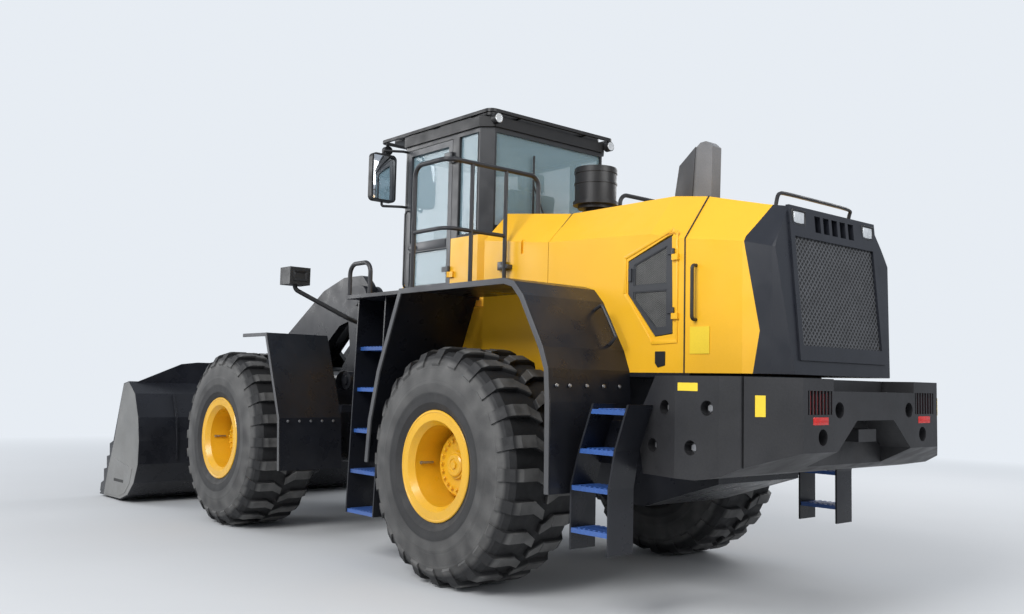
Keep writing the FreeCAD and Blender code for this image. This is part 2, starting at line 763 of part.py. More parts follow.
def hood():
    base = size.frame_top
    outer = []
    inner = []
    wall = size.hood_wall
    for x, shoulder_z, shoulder_half, top_z, top_half in HOOD_SECTIONS:
        outer.append((rear + x, symmetric([
            (size.hood_half, base), (size.hood_half, shoulder_z), (top_half, top_z)])))
        x = x + wall if x == HOOD_SECTIONS[-1][0] else x
        inner.append((rear + x - (wall if x == HOOD_SECTIONS[0][0] else 0), symmetric([
            (size.hood_half - wall, base + wall), (size.hood_half - wall, shoulder_z - 12),
            (top_half - 15, top_z - wall)])))
    shell = lofted("hood shell", outer, inner)
    vent_hinge_x = rear - 1612
    strap_z = (1960, 2360)
    strap = 40
    low = prism("hood underside", "XY", [
        (rear + size.hood_rear + wall, size.frame_half - size.frame_plate),
        (rear + size.hood_front - wall, size.frame_half - size.frame_plate),
        (rear + size.hood_front - wall, size.frame_plate - size.frame_half),
        (rear + size.hood_rear + wall, size.frame_plate - size.frame_half)], base - 10, base + 40)
    doors = []
    hood_knuckles = []
    for side, word in ((1, "left"), (-1, "right")):
        def vent(label, grow, y, far_y):
            corners = [(rear - 1204 + grow, 2380 + grow), (rear - 1593, 2527 + 3 * grow),
                       (rear - 1600 - grow, 1867 - grow), (rear - 1451, 1850 - grow),
                       (rear - 1204 + grow, 2150)]
            low_y, high_y = (y, far_y) if side > 0 else (-far_y, -y)
            return prism(label, "XZ", corners, low_y, high_y)
        doors.append(vent("vent opening", size.door_gap, size.hood_half - 100, size.hood_half + 50))
        leaf = vent("vent leaf " + word, 0, size.hood_half - 26, size.hood_half - 1)
        low_y = size.hood_half - 13 if side > 0 else -size.hood_half - 10
        panes = [prism("vent pane", "XZ", [(rear + x, z) for x, z in pane], low_y, low_y + 23)
                 for pane in VENT_PANES]
        latch_y = size.hood_half - 4 if side > 0 else -size.hood_half - 14
        latch = box("vent latch", (rear - 1236, latch_y, 2240), (rear - 1212, latch_y + 18, 2330))
        spot = (vent_hinge_x, (size.hood_half + 11) * side)
        leaf_pieces = [cut("vent leaf with panes", leaf, *panes), latch]
        for z in strap_z:
            leaf_z = z + strap + 2
            low_y = size.hood_half - 35 if side > 0 else -size.hood_half - 22
            hood_knuckles.append(box("vent strap", (vent_hinge_x - 48, low_y, z),
                                     (vent_hinge_x, low_y + 57, z + strap)))
            hood_knuckles.append(upright_pin("vent knuckle", spot, 11, z, z + strap))
            hood_knuckles.append(upright_pin("vent pin", spot, 6, z, z + 2 * strap))
            leaf_pieces.append(upright_pin("leaf knuckle", spot, 11, leaf_z, z + 2 * strap))
            low_y = size.hood_half + 0.3 if side > 0 else -size.hood_half - 12.3
            leaf_pieces.append(box("leaf strap", (vent_hinge_x, low_y, leaf_z),
                                   (vent_hinge_x + 52, low_y + 12, z + 2 * strap)))
            low_y = size.hood_half - 5 if side > 0 else -size.hood_half - 1
            leaf_pieces.append(box("leaf pad", (vent_hinge_x + 22, low_y, leaf_z),
                                   (vent_hinge_x + 52, low_y + 6, z + 2 * strap)))
        bore = upright_pin("vent bore", spot, 6 + size.running_gap, 1900, 2500)
        node("vent_door_" + word, cut("vent door " + word, fuse("vent leaf", *leaf_pieces), bore))
    panels = cut("hood panels", shell, low, exhaust_stack("stack hole"), *doors)
    node("hood", fuse("hood", panels, *hood_knuckles))


def cowl_shell(label):
    sections = [(rear + x, symmetric([(half, size.frame_top), (half, shoulder_z), (top_half, top_z)]))
                for x, half, shoulder_z, top_z, top_half in COWL_SECTIONS]
    return lofted(label, sections)


def seam_side(label, far_x):
    """Everything on one side of the bent seam in the rear cowl."""
    seam = [(rear + x, z) for x, z in COWL_SEAM]
    return prism(label, "XZ", seam + [(rear + far_x, seam[-1][1]), (rear + far_x, seam[0][1])],
                 -size.hood_half - 50, size.hood_half + 50)


def grille_face(z, depth):
    """Corner (x, z) on the slanted rear face of the grille, set in by a depth."""
    lean = (size.grille_top_x - size.grille_low_x) / (size.grille_top - size.grille_low)
    return rear + size.grille_top_x - lean * (size.grille_top - z) + depth, z


def grille_slab(label, low, high, near, far, start, end):
    """A slab along the grille's rear face, between two heights and two depths."""
    return prism(label, "XZ", [grille_face(high, near), grille_face(high, far),
                               grille_face(low, far), grille_face(low, near)], start, end)


def rear_cowl():
    node("rear_cowl", cut("rear cowl", cowl_shell("yellow cowl"), seam_side("behind the seam", -2700)))
    half = size.grille_half
    window = half - 45
    window_top = size.grille_top - 200
    window_low = size.grille_low + 95
    behind = grille_slab("behind the grille", size.frame_top - 100, size.grille_top + 200, -400, 0,
                         -size.hood_half, size.hood_half)
    shroud = cut("shroud", cowl_shell("dark cowl"), seam_side("ahead of the seam", -1500), behind)
    rim = cut("grille rim",
              grille_slab("grille frame", size.grille_low, size.grille_top, -14, 10, -half, half),
              grille_slab("grille mouth", window_low, window_top, -30, 20, -window, window))
    tools = [grille_slab("grille recess", window_low, window_top, -50, 60, -window, window)]
    for index in range(5):
        y = index * 104 - 243
        tools.append(grille_slab("cooling slot", window_top + 50, size.grille_top - 40, -50, 25,
                                 y, y + 70))
    lamp_z = size.grille_top - 75
    lamps = []
    for side in (1, -1):
        face_x, lamp_z = grille_face(lamp_z, 0)
        y = side * 430
        tools.append(rod("lamp pocket", "X", (face_x - 50, y, lamp_z), 52, 80))
        lamps.append(rod("hood lamp", "X", (face_x - 4, y, lamp_z), 51.7, 33.7))
    bars = []
    pitch = window / 5
    for index in range(-4, 5):
        bars.append(grille_slab("upright bar", window_low - 5, window_top + 5, 8, 20,
                                pitch * index - 6, pitch * index + 6))
    for index in range(1, 6):
        z = window_low + (window_top - window_low) / 6 * index
        bars.append(grille_slab("level bar", z - 6, z + 6, 8, 20, -window - 5, window + 5))
    node("rear_grille", fuse("rear grille", cut("shroud with recesses", fuse("shroud and rim", shroud, rim),
                                                *tools), *bars))
    return lamps


def front_cowl():
    """The fixed cowl between cab and hood, with the neck of the air cleaner in its top."""
    seam = rear + size.hood_front + size.door_gap
    x, shoulder_z, shoulder_half, top_z, top_half = HOOD_SECTIONS[0]
    body = lofted("front cowl body", [
        (seam, symmetric([(size.hood_half, size.frame_top), (size.hood_half, shoulder_z),
                          (top_half, top_z)])),
        (rear + size.front_cowl_x, symmetric([(size.hood_half, size.frame_top),
                                              (size.hood_half, 2690), (555, 2950)]))])
    middle = size.frame_half - size.frame_plate
    shaft = box("drive line opening", (seam - 50, -middle, size.frame_top - 50),
                (rear + size.front_cowl_x + 50, middle, size.frame_top + 250))
    slot = box("cowl slot", (rear - 75, size.hood_half - 20, 2540), (rear - 45, size.hood_half + 20, 2710))
    neck = upright_pin("neck hole", AIR_CLEANER, 80, 2840, 3100)
    node("front_cowl", cut("front cowl", body, shaft, slot, neck))


def exhaust_stack(label):
    return prism(label, "XZ", [
        (rear - 1345, 2790), (rear - 1000, 2790), (rear - 1013, 3001), (rear - 1052, 3211),
        (rear - 1243, 3368), (rear - 1303, 3372), (rear - 1358, 3323)], -55, 55,
        rounds=[((3, 4, 5), 30)])


AIR_CLEANER = (rear - 87, 0)


def intake_and_exhaust():
    node("pre_cleaner", fuse("pre cleaner",
         upright_pin("neck", AIR_CLEANER, 80, 2840, 3010),
         upright_pin("dish", AIR_CLEANER, 150, 3000, 3030),
         upright_pin("flange", AIR_CLEANER, 193, 3030, 3060),
         upright_pin("bowl", AIR_CLEANER, 178, 3060, 3350)))
    node("exhaust", exhaust_stack("exhaust stack"))


def cab_plan(inset):
    """The cab's outline seen from above, moved inwards by a wall."""
    corner = 90
    nose = 280
    slant = inset * 0.414
    left = [
        (rear + size.cab_rear + inset, size.cab_half - corner - slant),
        (rear + size.cab_rear + corner + slant, size.cab_half - inset),
        (rear + size.cab_front - nose - slant, size.cab_half - inset),
        (rear + size.cab_front - inset, size.cab_half - nose - slant),
    ]
    return left + [(x, -as_value(y)) for x, y in reversed(left)]


def cab():
    wall = size.cab_wall
    zero = size.cab_wall * 0
    floor_top = size.cab_floor + wall
    outside = prism("cab outside", "XY", cab_plan(zero), size.cab_floor, size.cab_top)
    inside = prism("cab inside", "XY", cab_plan(wall), floor_top, size.cab_top + 1)
    head = size.cab_top - 40
    far = size.cab_half + 50
    near = size.cab_half - 2 * wall
    quarter_x = rear + size.cab_rear + 110
    pillar_b_rear = rear + size.pillar_b - 90
    windows = [
        box("door opening", (rear + size.pillar_b, near, floor_top + 30),
            (rear + size.pillar_a, far, head)),
        box("right window", (rear + size.pillar_b, -far, size.sill),
            (rear + size.pillar_a, -near, head)),
        box("left quarter", (quarter_x, near, size.belt), (pillar_b_rear, far, head)),
        box("right quarter", (quarter_x, -far, size.belt), (pillar_b_rear, -near, head)),
        box("rear window", (rear + size.cab_rear - 50, 110 - size.cab_half, size.belt + 70),
            (rear + size.cab_rear + wall + 30, size.cab_half - 110, head)),
        box("windscreen", (rear + size.cab_front - wall - 30, 310 - size.cab_half, size.sill - 100),
            (rear + size.cab_front + 50, size.cab_half - 310, head)),
    ]
    for side in (1, -1):
        windows.append(corner_slab("corner opening", side, 100, head))
    return outside, inside, windows, floor_top, head


def corner_slab(label, side, half_thick, head):
    """An upright slab across the slanted corner between windscreen and side wall."""
    nose = 140
    inset = size.cab_wall * 0.354
    slab = prism(label, "XY", [(-150, -half_thick), (150, -half_thick), (150, half_thick),
                               (-150, half_thick)], size.sill - 100, head)
    place = (rear + size.cab_front - nose - inset, (size.cab_half - nose - inset) * side, 0)
    return put(slab, place, Rotation(Vector(0, 0, 1), -45 * side))


def cab_parts():
    outside, inside, windows, floor_top, head = cab()
    half_pane = size.glass / 2
    hinge_x = rear + size.pillar_b + size.door_gap
    hinge_y = size.cab_half + 16
    pin = 9
    frame_knuckles = []
    door_knuckles = []
    for z in (size.sill - 30, size.cab_top - 260):
        frame_knuckles.append(box("hinge strap", (hinge_x - 70, size.cab_half, z),
                                  (hinge_x, hinge_y + 6, z + 50)))
        frame_knuckles.append(upright_pin("hinge knuckle", (hinge_x, hinge_y), 16, z, z + 50))
        frame_knuckles.append(upright_pin("hinge pin", (hinge_x, hinge_y), pin, z, z + 100))
        door_knuckles.append(box("door strap", (hinge_x, size.cab_half, z + 52),
                                 (hinge_x + 90, hinge_y + 6, z + 100)))
        door_knuckles.append(upright_pin("door knuckle", (hinge_x, hinge_y), 16, z + 52, z + 100))
    bore = upright_pin("hinge bore", (hinge_x, hinge_y), pin + size.running_gap, 2400, 3600)
    shell = cut("cab shell", outside, inside, *windows)
    node("cab_frame", fuse("cab frame", shell, *frame_knuckles))
    mid = size.cab_half - size.cab_wall / 2
    front_x = rear + size.cab_front - size.cab_wall / 2
    rear_x = rear + size.cab_rear + size.cab_wall / 2
    quarter = (rear + size.cab_rear + 110, rear + size.pillar_b - 90)
    panes = []
    for side in (1, -1):
        panes.append(box("quarter pane", (quarter[0], mid * side - half_pane, size.belt),
                         (quarter[1], mid * side + half_pane, head)))
    panes.append(box("right pane", (rear + size.pillar_b, -mid - half_pane, size.sill),
                     (rear + size.pillar_a, half_pane - mid, head)))
    panes.append(box("rear pane", (rear_x - half_pane, 110 - size.cab_half, size.belt + 70),
                     (rear_x + half_pane, size.cab_half - 110, head)))
    panes.append(box("windscreen", (front_x - half_pane, 310 - size.cab_half, size.sill - 100),
                     (front_x + half_pane, size.cab_half - 310, head)))
    for side in (1, -1):
        panes.append(corner_slab("corner pane", side, half_pane, head))
    node("cab_glass", group("cab glass", *panes))
    gap = size.door_gap
    door = box("door leaf", (rear + size.pillar_b + gap, size.cab_half - size.cab_wall + 5,
                             floor_top + 30 + gap),
               (rear + size.pillar_a - gap, size.cab_half, head - gap))
    lower_low, lower_high = size.sill - 70, size.belt - 90
    upper = box("upper glass opening", (rear + size.pillar_b + 60, size.cab_half - 100, size.belt),
                (rear + size.pillar_a - 60, size.cab_half + 20, head - 60))
    lower = box("lower glass opening", (rear + size.pillar_b + 60, size.cab_half - 100, lower_low),
                (rear + size.pillar_a - 60, size.cab_half + 20, lower_high))
    node("cab_door", cut("cab door", fuse("door and straps", door, *door_knuckles), upper, lower, bore))
    door_panes = [box("door pane", (rear + size.pillar_b + 60, size.cab_half - 35, low),
                      (rear + size.pillar_a - 60, size.cab_half - 25, high))
                  for low, high in ((size.belt, head - 60), (lower_low, lower_high))]
    node("door_glass", group("door glass", *door_panes))
    slab = prism("roof slab", "XY", cab_plan(size.cab_wall * 0 - 20), size.cab_top, size.cab_top + 90)
    guard_low = roof_top - 36
    ring = []
    for name, edge, corner in (("guard ring outside", 0, 70), ("guard ring inside", 28, 45)):
        ring.append(prism(name, "XY", [
            (rear + 418 + edge, edge - 767), (rear + 2110 - edge, edge - 767),
            (rear + 2110 - edge, 767 - edge), (rear + 418 + edge, 767 - edge)],
            guard_low - (1 if edge else 0), roof_top - (7 if edge else 8),
            rounds=[((0, 1, 2, 3), corner)]))
    plate = prism("guard plate", "XY", [
        (rear + 520, -690), (rear + 2010, -690), (rear + 2010, 690), (rear + 520, 690)],
        guard_low, roof_top, rounds=[((0, 1, 2, 3), 60)])
    guard = [cut("guard ring", *ring), plate]
    for x in (700, 1250, 1800):
        guard.append(box("guard strut", (rear + x, -745, guard_low + 4), (rear + x + 40, 745, guard_low + 24)))
    for y in (-420, 380):
        guard.append(box("guard strut", (rear + 440, y, guard_low + 4), (rear + 2090, y + 40, guard_low + 24)))
    for x in (395, 2068):
        for y in (690, -690):
            guard.append(rod("roof lamp", "X", (rear + x, y, roof_top - 93), 45, 55))
            guard.append(box("lamp stem", (rear + x + 20, y - 10, roof_top - 53),
                             (rear + x + 38, y + 10, guard_low + 5)))
    posts = [upright_pin("guard post", (rear + x, y), 20, size.cab_top + 80, guard_low + 5)
             for x in (560, 1750) for y in (600, -600)]
    node("cab_roof", fuse("cab roof", slab, *guard, *posts))
    seat_floor = floor_top
    seat = fuse("seat", box("seat base", (rear + 800, -200, seat_floor), (rear + 1150, 200, 2450)),
                box("seat cushion", (rear + 750, -260, 2450), (rear + 1270, 260, 2590)),
                prism("seat back", "XZ", [(rear + 760, 2590), (rear + 900, 2590),
                                          (rear + 800, 3250), (rear + 680, 3250)], -250, 250,
                      rounds=[((2, 3), 40)]))
    node("seat", seat)
    column = prism("column", "XZ", [(rear + 1500, seat_floor), (rear + 1720, seat_floor),
                                    (rear + 1560, 2900), (rear + 1480, 2900)], -110, 110)
    wheel_ring = rod("steering wheel", "Z", (rear + 1480, 0, 2895), 190, 35)
    node("steering_console", fuse("console", column, wheel_ring))
    base = prism("cab mount", "XZ", [
        (rear + 420, size.frame_top), (rear + 1450, size.frame_top), (rear + 1850, size.cab_floor - 150),
        (rear + 1850, size.cab_floor), (rear + 420, size.cab_floor)], -size.base_half, size.base_half)
    node("cab_base", base)


STEP_FRONT = ((-1304, 450), (-1304, 860), (-1379, 1100), (-1477, 1355), (-1490, 1390))
STEP_REAR = ((-1620, 450), (-1620, 860), (-1668, 1100), (-1760, 1355), (-1773, 1390))


def along(path, height):
    """x of a path of (x, z) corners at one height."""
    for (x, z), (next_x, next_z) in zip(path, path[1:]):
        if z <= height <= next_z:
            return x + (next_x - x) * (height - z) / (next_z - z)


def fenders_and_decks():
    rear_arch = strip(shifted([
        # from the front lower edge over the wheel to the rear lower edge
        (925, -35), (893, 302), (785, 704)],
        rear, size.axle_height) + [(rear + 508, size.deck_top), (rear - 765, size.deck_top)]
        + shifted([(-868, 1316), (-962, 1219), (-1167, 868), (-1223, 725), (-1238, 506),
                   (-1246, -85)], rear, size.axle_height), -size.fender_sheet)
    sheet_body = prism("rear fender", "XZ", rear_arch, size.hood_half, size.fender_outer)
    node("rear_fenders", both_sides("rear fenders", sheet_body))
    front_arch = strip(shifted([
        (-1337, -228), (-1300, 255), (-980, 1055), (-480, 1055)], front, size.axle_height),
        size.fender_sheet)
    front_sheet = prism("front fender", "XZ", front_arch, size.front_fender_inner, size.fender_outer)
    bracket = box("fender bracket", (front - 1300, size.front_frame_half, size.axle_height + 305),
                  (front - 1200, size.front_fender_inner, size.axle_height + 375))
    node("front_fenders", both_sides("front fenders", front_sheet))
    node("fender_brackets", both_sides("fender brackets", bracket))
    deck_low = size.deck_top - 30
    tank = box("side tank", (rear + 960, size.cab_half, 1150), (rear + 1430, 1090, deck_low))
    carrier = box("tank carrier", (rear + 1000, size.frame_half, 1250),
                  (rear + 1380, size.cab_half, size.frame_top - 60))
    deck = box("deck", (rear + 524, size.cab_half, deck_low), (rear + 1430, 1505, size.deck_top))
    treads = []
    for z, out in ((420, 1450), (750, 1430), (1090, 1410), (1440, 1390), (1790, 1370)):
        treads.append(box("tread", (rear + 975.3, out - 260, z - 30), (rear + 1374.7, out, z)))
    stringers = [prism("stringer", "YZ", [
        (1190, 390), (1460, 390), (1400, deck_low), (1100, deck_low), (1092, 1500)], x, x + 15)
        for x in (rear + 960, rear + 1375)]
    node("side_decks", both_sides("side decks", fuse("tank and deck", tank, carrier, deck, *stringers)))
    low_y = 1205
    out_y = 1430
    step_pieces = []
    for path, thickness in ((STEP_FRONT, 15), (STEP_REAR, -15)):
        step_pieces.append(prism("rear stringer", "XZ", [(rear + x, z) for x, z in path]
                                 + [(rear + x + thickness, z) for x, z in reversed(path)],
                                 low_y, out_y))
    for z in (590, 860, 1100, 1355):
        corners = [(STEP_REAR, z, 0.3), (STEP_FRONT, z, -0.3),
                   (STEP_FRONT, z - 30, -0.3), (STEP_REAR, z - 30, 0.3)]
        treads.append(prism("rear tread", "XZ", [(rear + along(path, height) + seat, height)
                                                 for path, height, seat in corners],
                            low_y + 10, out_y))
    hanger_y = low_y + 9.7
    step_pieces.append(prism("step hanger", "XZ", [
        (rear - 1672, 1000), (rear - 1626, 1280), (rear - 1420, 1280), (rear - 1330, 1000)],
        1100, hanger_y))
    node("rear_steps", both_sides("rear steps", fuse("rear step", *step_pieces)))
    node("ladders", group("treads", *treads, *[mirror(tread) for tread in treads]))


def rails():
    deck = size.deck_top
    rail_y = 1450
    tube = size.rail_tube
    top = size.rail_top
    bend = 90
    left = [
        pipe("top rail", [(rear + 520, rail_y, deck), (rear + 520, rail_y, top),
                          (rear + 90, rail_y, top), (rear + 90, 500, top),
                          (rear + 90, 500, 2914)], tube, bend),
        pipe("middle rail", [(rear + 520, rail_y, 2690), (rear + 90, rail_y, 2690),
                             (rear + 90, 856, 2690)], tube - 3, bend),
        rod("rail post", "Z", (rear + 90, 1205, deck), tube - 2, top - deck),
        rod("rail post", "Z", (rear + 90, 856, deck), tube - 2, top - deck),
    ]
    deck_rails = fuse("deck rails", *left)
    grab = pipe("grab handle", [(rear - 1800, 798.6, 1950), (rear - 1800, 842, 1950),
                                (rear - 1800, 842, 2310), (rear - 1800, 798.6, 2310)], 12, 25)
    node("handrails", group("handrails", deck_rails, mirror(deck_rails), grab, mirror(grab)))
    entry_y = 1480
    entry = pipe("entry rail", [(rear + 1410, entry_y, deck), (rear + 1410, entry_y, 2500),
                                (rear + 1088, entry_y, 2500), (rear + 1088, entry_y, deck)],
                 tube, bend)
    node("entry_rails", both_sides("entry rails", entry))
    pillar_x = rear + 1655
    pillar_y = size.cab_half + 0.3
    mirror_x = rear + 1760
    mirror_y = size.cab_half + 205
    arms = []
    for z, end_z in ((size.cab_top - 45, size.cab_top - 90), (3130, 3180)):
        arms.append(pipe("mirror arm", [(pillar_x, pillar_y, z), (pillar_x, pillar_y + 50, z),
                                        (mirror_x, mirror_y, z), (mirror_x, mirror_y, end_z)], 12, 20))
    head = prism("mirror head", "YZ", [(820, 3170), (1090, 3170), (1090, 3620), (820, 3620)],
                 mirror_x - 30, mirror_x + 30, rounds=[((0, 1, 2, 3), 45)])
    node("mirrors", both_sides("mirrors", fuse("mirror", head, *arms)))


def front_frame():
    inner = size.front_frame_half - size.frame_plate
    end = hinge + size.hinge_reach
    seat = size.axle_height + 175
    tower_top = size.boom_pivot_z + 150
    x, z = boom_pivot
    rail = prism("front rail", "XZ", [
        (end, size.frame_low), (front - 420, size.frame_low), (front - 300, seat), (front + 300, seat),
        (front + 380, 800), (front + 480, 800), (front + 480, 1330), (front - 250, 1450),
        (front - 560, 1800), (x + 200, tower_top), (x - 200, tower_top), (x - 330, size.frame_top + 60),
        (end, size.frame_top)], inner, size.front_frame_half,
        rounds=[((9, 10), 140), ((2, 3), 50)])
    pieces = [rail, mirror(rail)]
    pieces.append(box("end plate", (end, -inner, size.frame_low), (end + size.frame_plate, inner, size.frame_top)))
    pieces.append(box("front plate", (front + 430, -inner, 800), (front + 480, inner, 1330)))
    pieces.append(box("floor plate", (end, -inner, size.frame_low), (front - 450, inner, size.frame_low + 40)))
    pieces.append(box("top plate", (end, -inner, size.frame_top - 40), (front - 750, inner, size.frame_top)))
    pieces.append(cross_pin("tower tube", (x, z - 150), 100, -inner, inner))
    ear_low = arm_outer + size.side_gap
    ear = prism("outer ear", "XZ", [
        (x - 180, 1560), (x + 60, 1560), (x + 180, z - 60), (x + 180, z + 150), (x - 180, z + 150)],
        ear_low, ear_low + 40, rounds=[((3, 4), 130)])
    spacer = box("ear spacer", (x - 180, size.front_frame_half, 1560), (x + 40, ear_low + 40, 1680))
    pieces += [ear, mirror(ear), spacer, mirror(spacer)]
    for half in (1, -1):
        start, stop = (inner, ear_low + 60) if half > 0 else (-ear_low - 60, -inner)
        pieces.append(cross_pin("boom pin", boom_pivot, size.boom_pin_radius, start, stop))
        start, stop = ((size.front_frame_half - 10, size.lift_side + 60) if half > 0
                       else (-size.lift_side - 60, 10 - size.front_frame_half))
        pieces.append(cross_pin("lift pin", lift_base, size.lift_pin_radius, start, stop))
        start, stop = ((size.front_frame_half - 10, size.lift_side - 50) if half > 0
                       else (50 - size.lift_side, 10 - size.front_frame_half))
        pieces.append(cross_pin("lift pin boss", lift_base, size.lift_pin_radius + 40, start, stop))
    for z_mid in (size.upper_hinge_z, size.lower_hinge_z):
        for low in (z_mid + size.hinge_lug / 2 + size.side_gap,
                    z_mid - size.hinge_lug / 2 - size.side_gap - size.hinge_cheek):
            cheek = prism("hinge cheek", "XY", [
                (end + 20, inner), (hinge, size.hinge_lug_radius),
                (hinge - size.hinge_lug_radius, size.hinge_lug_radius),
                (hinge - size.hinge_lug_radius, -size.hinge_lug_radius),
                (hinge, -size.hinge_lug_radius), (end + 20, -inner)],
                low, low + size.hinge_cheek, rounds=[((2, 3), size.hinge_lug_radius - 1)])
            pieces.append(cheek)
    eye_x = hinge + size.steer_eye_ahead
    for side in (1, -1):
        low_y, high_y = ((size.steer_eye_side - 65, inner) if side > 0
                         else (-inner, 65 - size.steer_eye_side))
        for z_low in (size.steer_level - 75, size.steer_level + 45):
            pieces.append(box("steering horn", (eye_x - 55, low_y, z_low), (end + 10, high_y, z_low + 30)))
    tilt_x, tilt_z = tilt_base
    for side in (1, -1):
        inner_y = size.link_half + size.side_gap
        start, stop = ((inner_y, inner_y + 50) if side > 0 else (-inner_y - 50, -inner_y))
        pieces.append(prism("tilt ear", "XZ", [
            (x - 60, z - 240), (tilt_x + 40, tilt_z - 90), (tilt_x + 85, tilt_z), (tilt_x + 30, tilt_z + 80),
            (x, z - 100), (x - 60, z - 100)], start, stop))
    body = fuse("front frame body", *pieces)
    gap_pin = size.hinge_pin_radius + size.running_gap
    bores = [upright_pin("hinge bore", (hinge, 0), gap_pin, size.frame_low - 50, size.frame_top + 50),
             cross_pin("tilt pin bore", tilt_base, size.link_pin_radius + size.running_gap, -200, 200)]
    node("front_frame", cut("front frame", body, *bores))
    housing = axle("front axle housing", front)
    pads = []
    for side in (1, -1):
        low_y, high_y = (inner - 20, size.front_frame_half + 20)
        start, stop = (low_y, high_y) if side > 0 else (-high_y, -low_y)
        pads.append(box("axle pad", (front - 180, start, size.axle_height), (front + 180, stop, seat)))
    node("front_axle", fuse("front axle", housing, *pads))
    lamp_y = 1290
    arm = pipe("lamp arm", [(front - 1135, size.front_frame_half + 0.3, 2050),
                            (front - 1135, 560, 2050), (front - 1150, 800, 2120),
                            (front - 960, lamp_y, 2380), (front - 960, lamp_y, 2440)], 22, 60)
    head = box("lamp head", (front - 1060, lamp_y - 110, 2420), (front - 860, lamp_y + 110, 2590))
    node("headlamps", both_sides("headlamps", fuse("headlamp", arm, head)))


def angle_between(base, eye):
    """The slope in degrees, and the length, of the line between two (x, z) spots."""
    (x0, z0), (x1, z1) = [(as_value(x).number, as_value(z).number) for x, z in (base, eye)]
    return math.degrees(math.atan2(z1 - z0, x1 - x0)), math.hypot(x1 - x0, z1 - z0)


def ram(name, base, eye, y, pin, barrel_radius, bore_radius, rod_radius, tube_start,
        barrel_length, rod_length, half_eye, cap):
    """A barrel and a rod between two cross pins, drawn along X and then turned."""
    angle, run = angle_between(base, eye)
    gland = 60
    neck_step = 4
    barrel = fuse(name + " barrel solid",
                  cross_pin("base eye", (0, 0), pin + 45, -half_eye, half_eye),
                  rod("neck", "X", (pin + 20, 0, 0), half_eye - neck_step, tube_start - pin),
                  rod("tube", "X", (tube_start, 0, 0), barrel_radius, barrel_length - tube_start),
                  rod("gland", "X", (barrel_length - gland, 0, 0), barrel_radius + 12, gland))
    barrel = cut(name + " barrel", barrel,
                 cross_pin("pin bore", (0, 0), pin + size.running_gap, -300, 300),
                 rod("tube bore", "X", (tube_start + 5, 0, 0), bore_radius + size.running_gap,
                     barrel_length - tube_start - 5 - gland),
                 rod("gland bore", "X", (barrel_length - gland - 5, 0, 0),
                     rod_radius + size.running_gap, gland + 10))
    pieces = [rod("rod", "X", (run - rod_length, 0, 0), rod_radius, rod_length - pin),
              cross_pin("rod eye", (run, 0), pin + 40, -half_eye, half_eye)]
    if cap > 0:
        pieces.append(cross_pin("pin head", (run, 0), pin + 10, -half_eye, half_eye + cap))
    rod_item = fuse(name + " rod", *pieces)
    turn = Rotation(Vector(0, -1, 0), angle)
    place = (base[0], y, base[1])
    put(barrel, place, turn)
    put(rod_item, place, turn)
    return barrel, rod_item


def headed_pin(label, spot, radius, seat, flange, thickness):
    """A pin across the machine with a retaining cap outside the ears it passes through."""
    seat = seat + 1
    return fuse(label,
                cross_pin("shank", spot, radius, -seat, seat),
                cross_pin("cap", spot, radius + flange, seat, seat + thickness),
                cross_pin("other cap", spot, radius + flange, -seat - thickness, -seat))


def linkage():
    lift = ram("lift", lift_base, lift_eye, size.lift_side, size.lift_pin_radius,
               size.lift_barrel_radius, size.lift_rod_radius, size.lift_rod_radius, 100,
               size.lift_barrel_length, 1285, size.link_half - 5, 25)
    node("lift_barrels", both_sides("lift barrels", lift[0]))
    node("lift_rods", both_sides("lift rods", lift[1]))
    tilt = ram("tilt", tilt_base, crank_top, size.link_half * 0, size.link_pin_radius,
               size.tilt_barrel_radius, size.piston_radius, size.tilt_rod_radius, 125,
               size.tilt_barrel_length, 590, size.link_half, 0)
    node("tilt_barrel", tilt[0])
    node("tilt_rod", tilt[1])
    sleeve_start = 190
    sleeve_length = 40
    sleeve = cut("tilt piston solid",
                 rod("piston", "X", (sleeve_start, 0, 0), size.piston_radius, sleeve_length),
                 rod("piston bore", "X", (sleeve_start - 10, 0, 0),
                     size.tilt_rod_radius + size.running_gap, sleeve_length + 20))
    angle, run = angle_between(tilt_base, crank_top)
    put(sleeve, (tilt_base[0], size.link_half * 0, tilt_base[1]), Rotation(Vector(0, -1, 0), angle))
    node("tilt_piston", sleeve)
    node("tilt_base_pin", cross_pin("tilt base pin", tilt_base, size.link_pin_radius,
                                    -link_ear_outer - 20, link_ear_outer + 20))
    plates = []
    for side in (1, -1):
        low, high = ((link_ear_inner, link_ear_outer) if side > 0
                     else (-link_ear_outer, -link_ear_inner))
        plates.append(eye_plate("crank upper arm", crank_pivot, 160, crank_top, 95, low, high))
        plates.append(eye_plate("crank lower arm", crank_pivot, 160, crank_low, 110, low, high))
    hub = cross_pin("crank hub", crank_pivot, 120, -link_ear_outer - 10, link_ear_outer + 10)
    crank = fuse("crank solid", hub, *plates)
    node("bell_crank", cut("bell crank", crank,
         cross_pin("crank bore", crank_pivot, size.crank_pin_radius + size.running_gap, -400, 400),
         cross_pin("link bore", crank_low, size.link_pin_radius + size.running_gap, -400, 400)))
    node("crank_pin", headed_pin("crank pin", crank_pivot, size.crank_pin_radius,
                                 crank_ear_high, 55, 30))
    node("link_pin", headed_pin("link pin", crank_low, size.link_pin_radius,
                                link_ear_outer, 30, 24))
    link = eye_plate("link web", crank_low, 90, link_eye, 75, -size.link_half, size.link_half)
    node("tilt_link", cut("tilt link", link,
         cross_pin("link bore", crank_low, size.link_pin_radius + size.running_gap, -400, 400)))


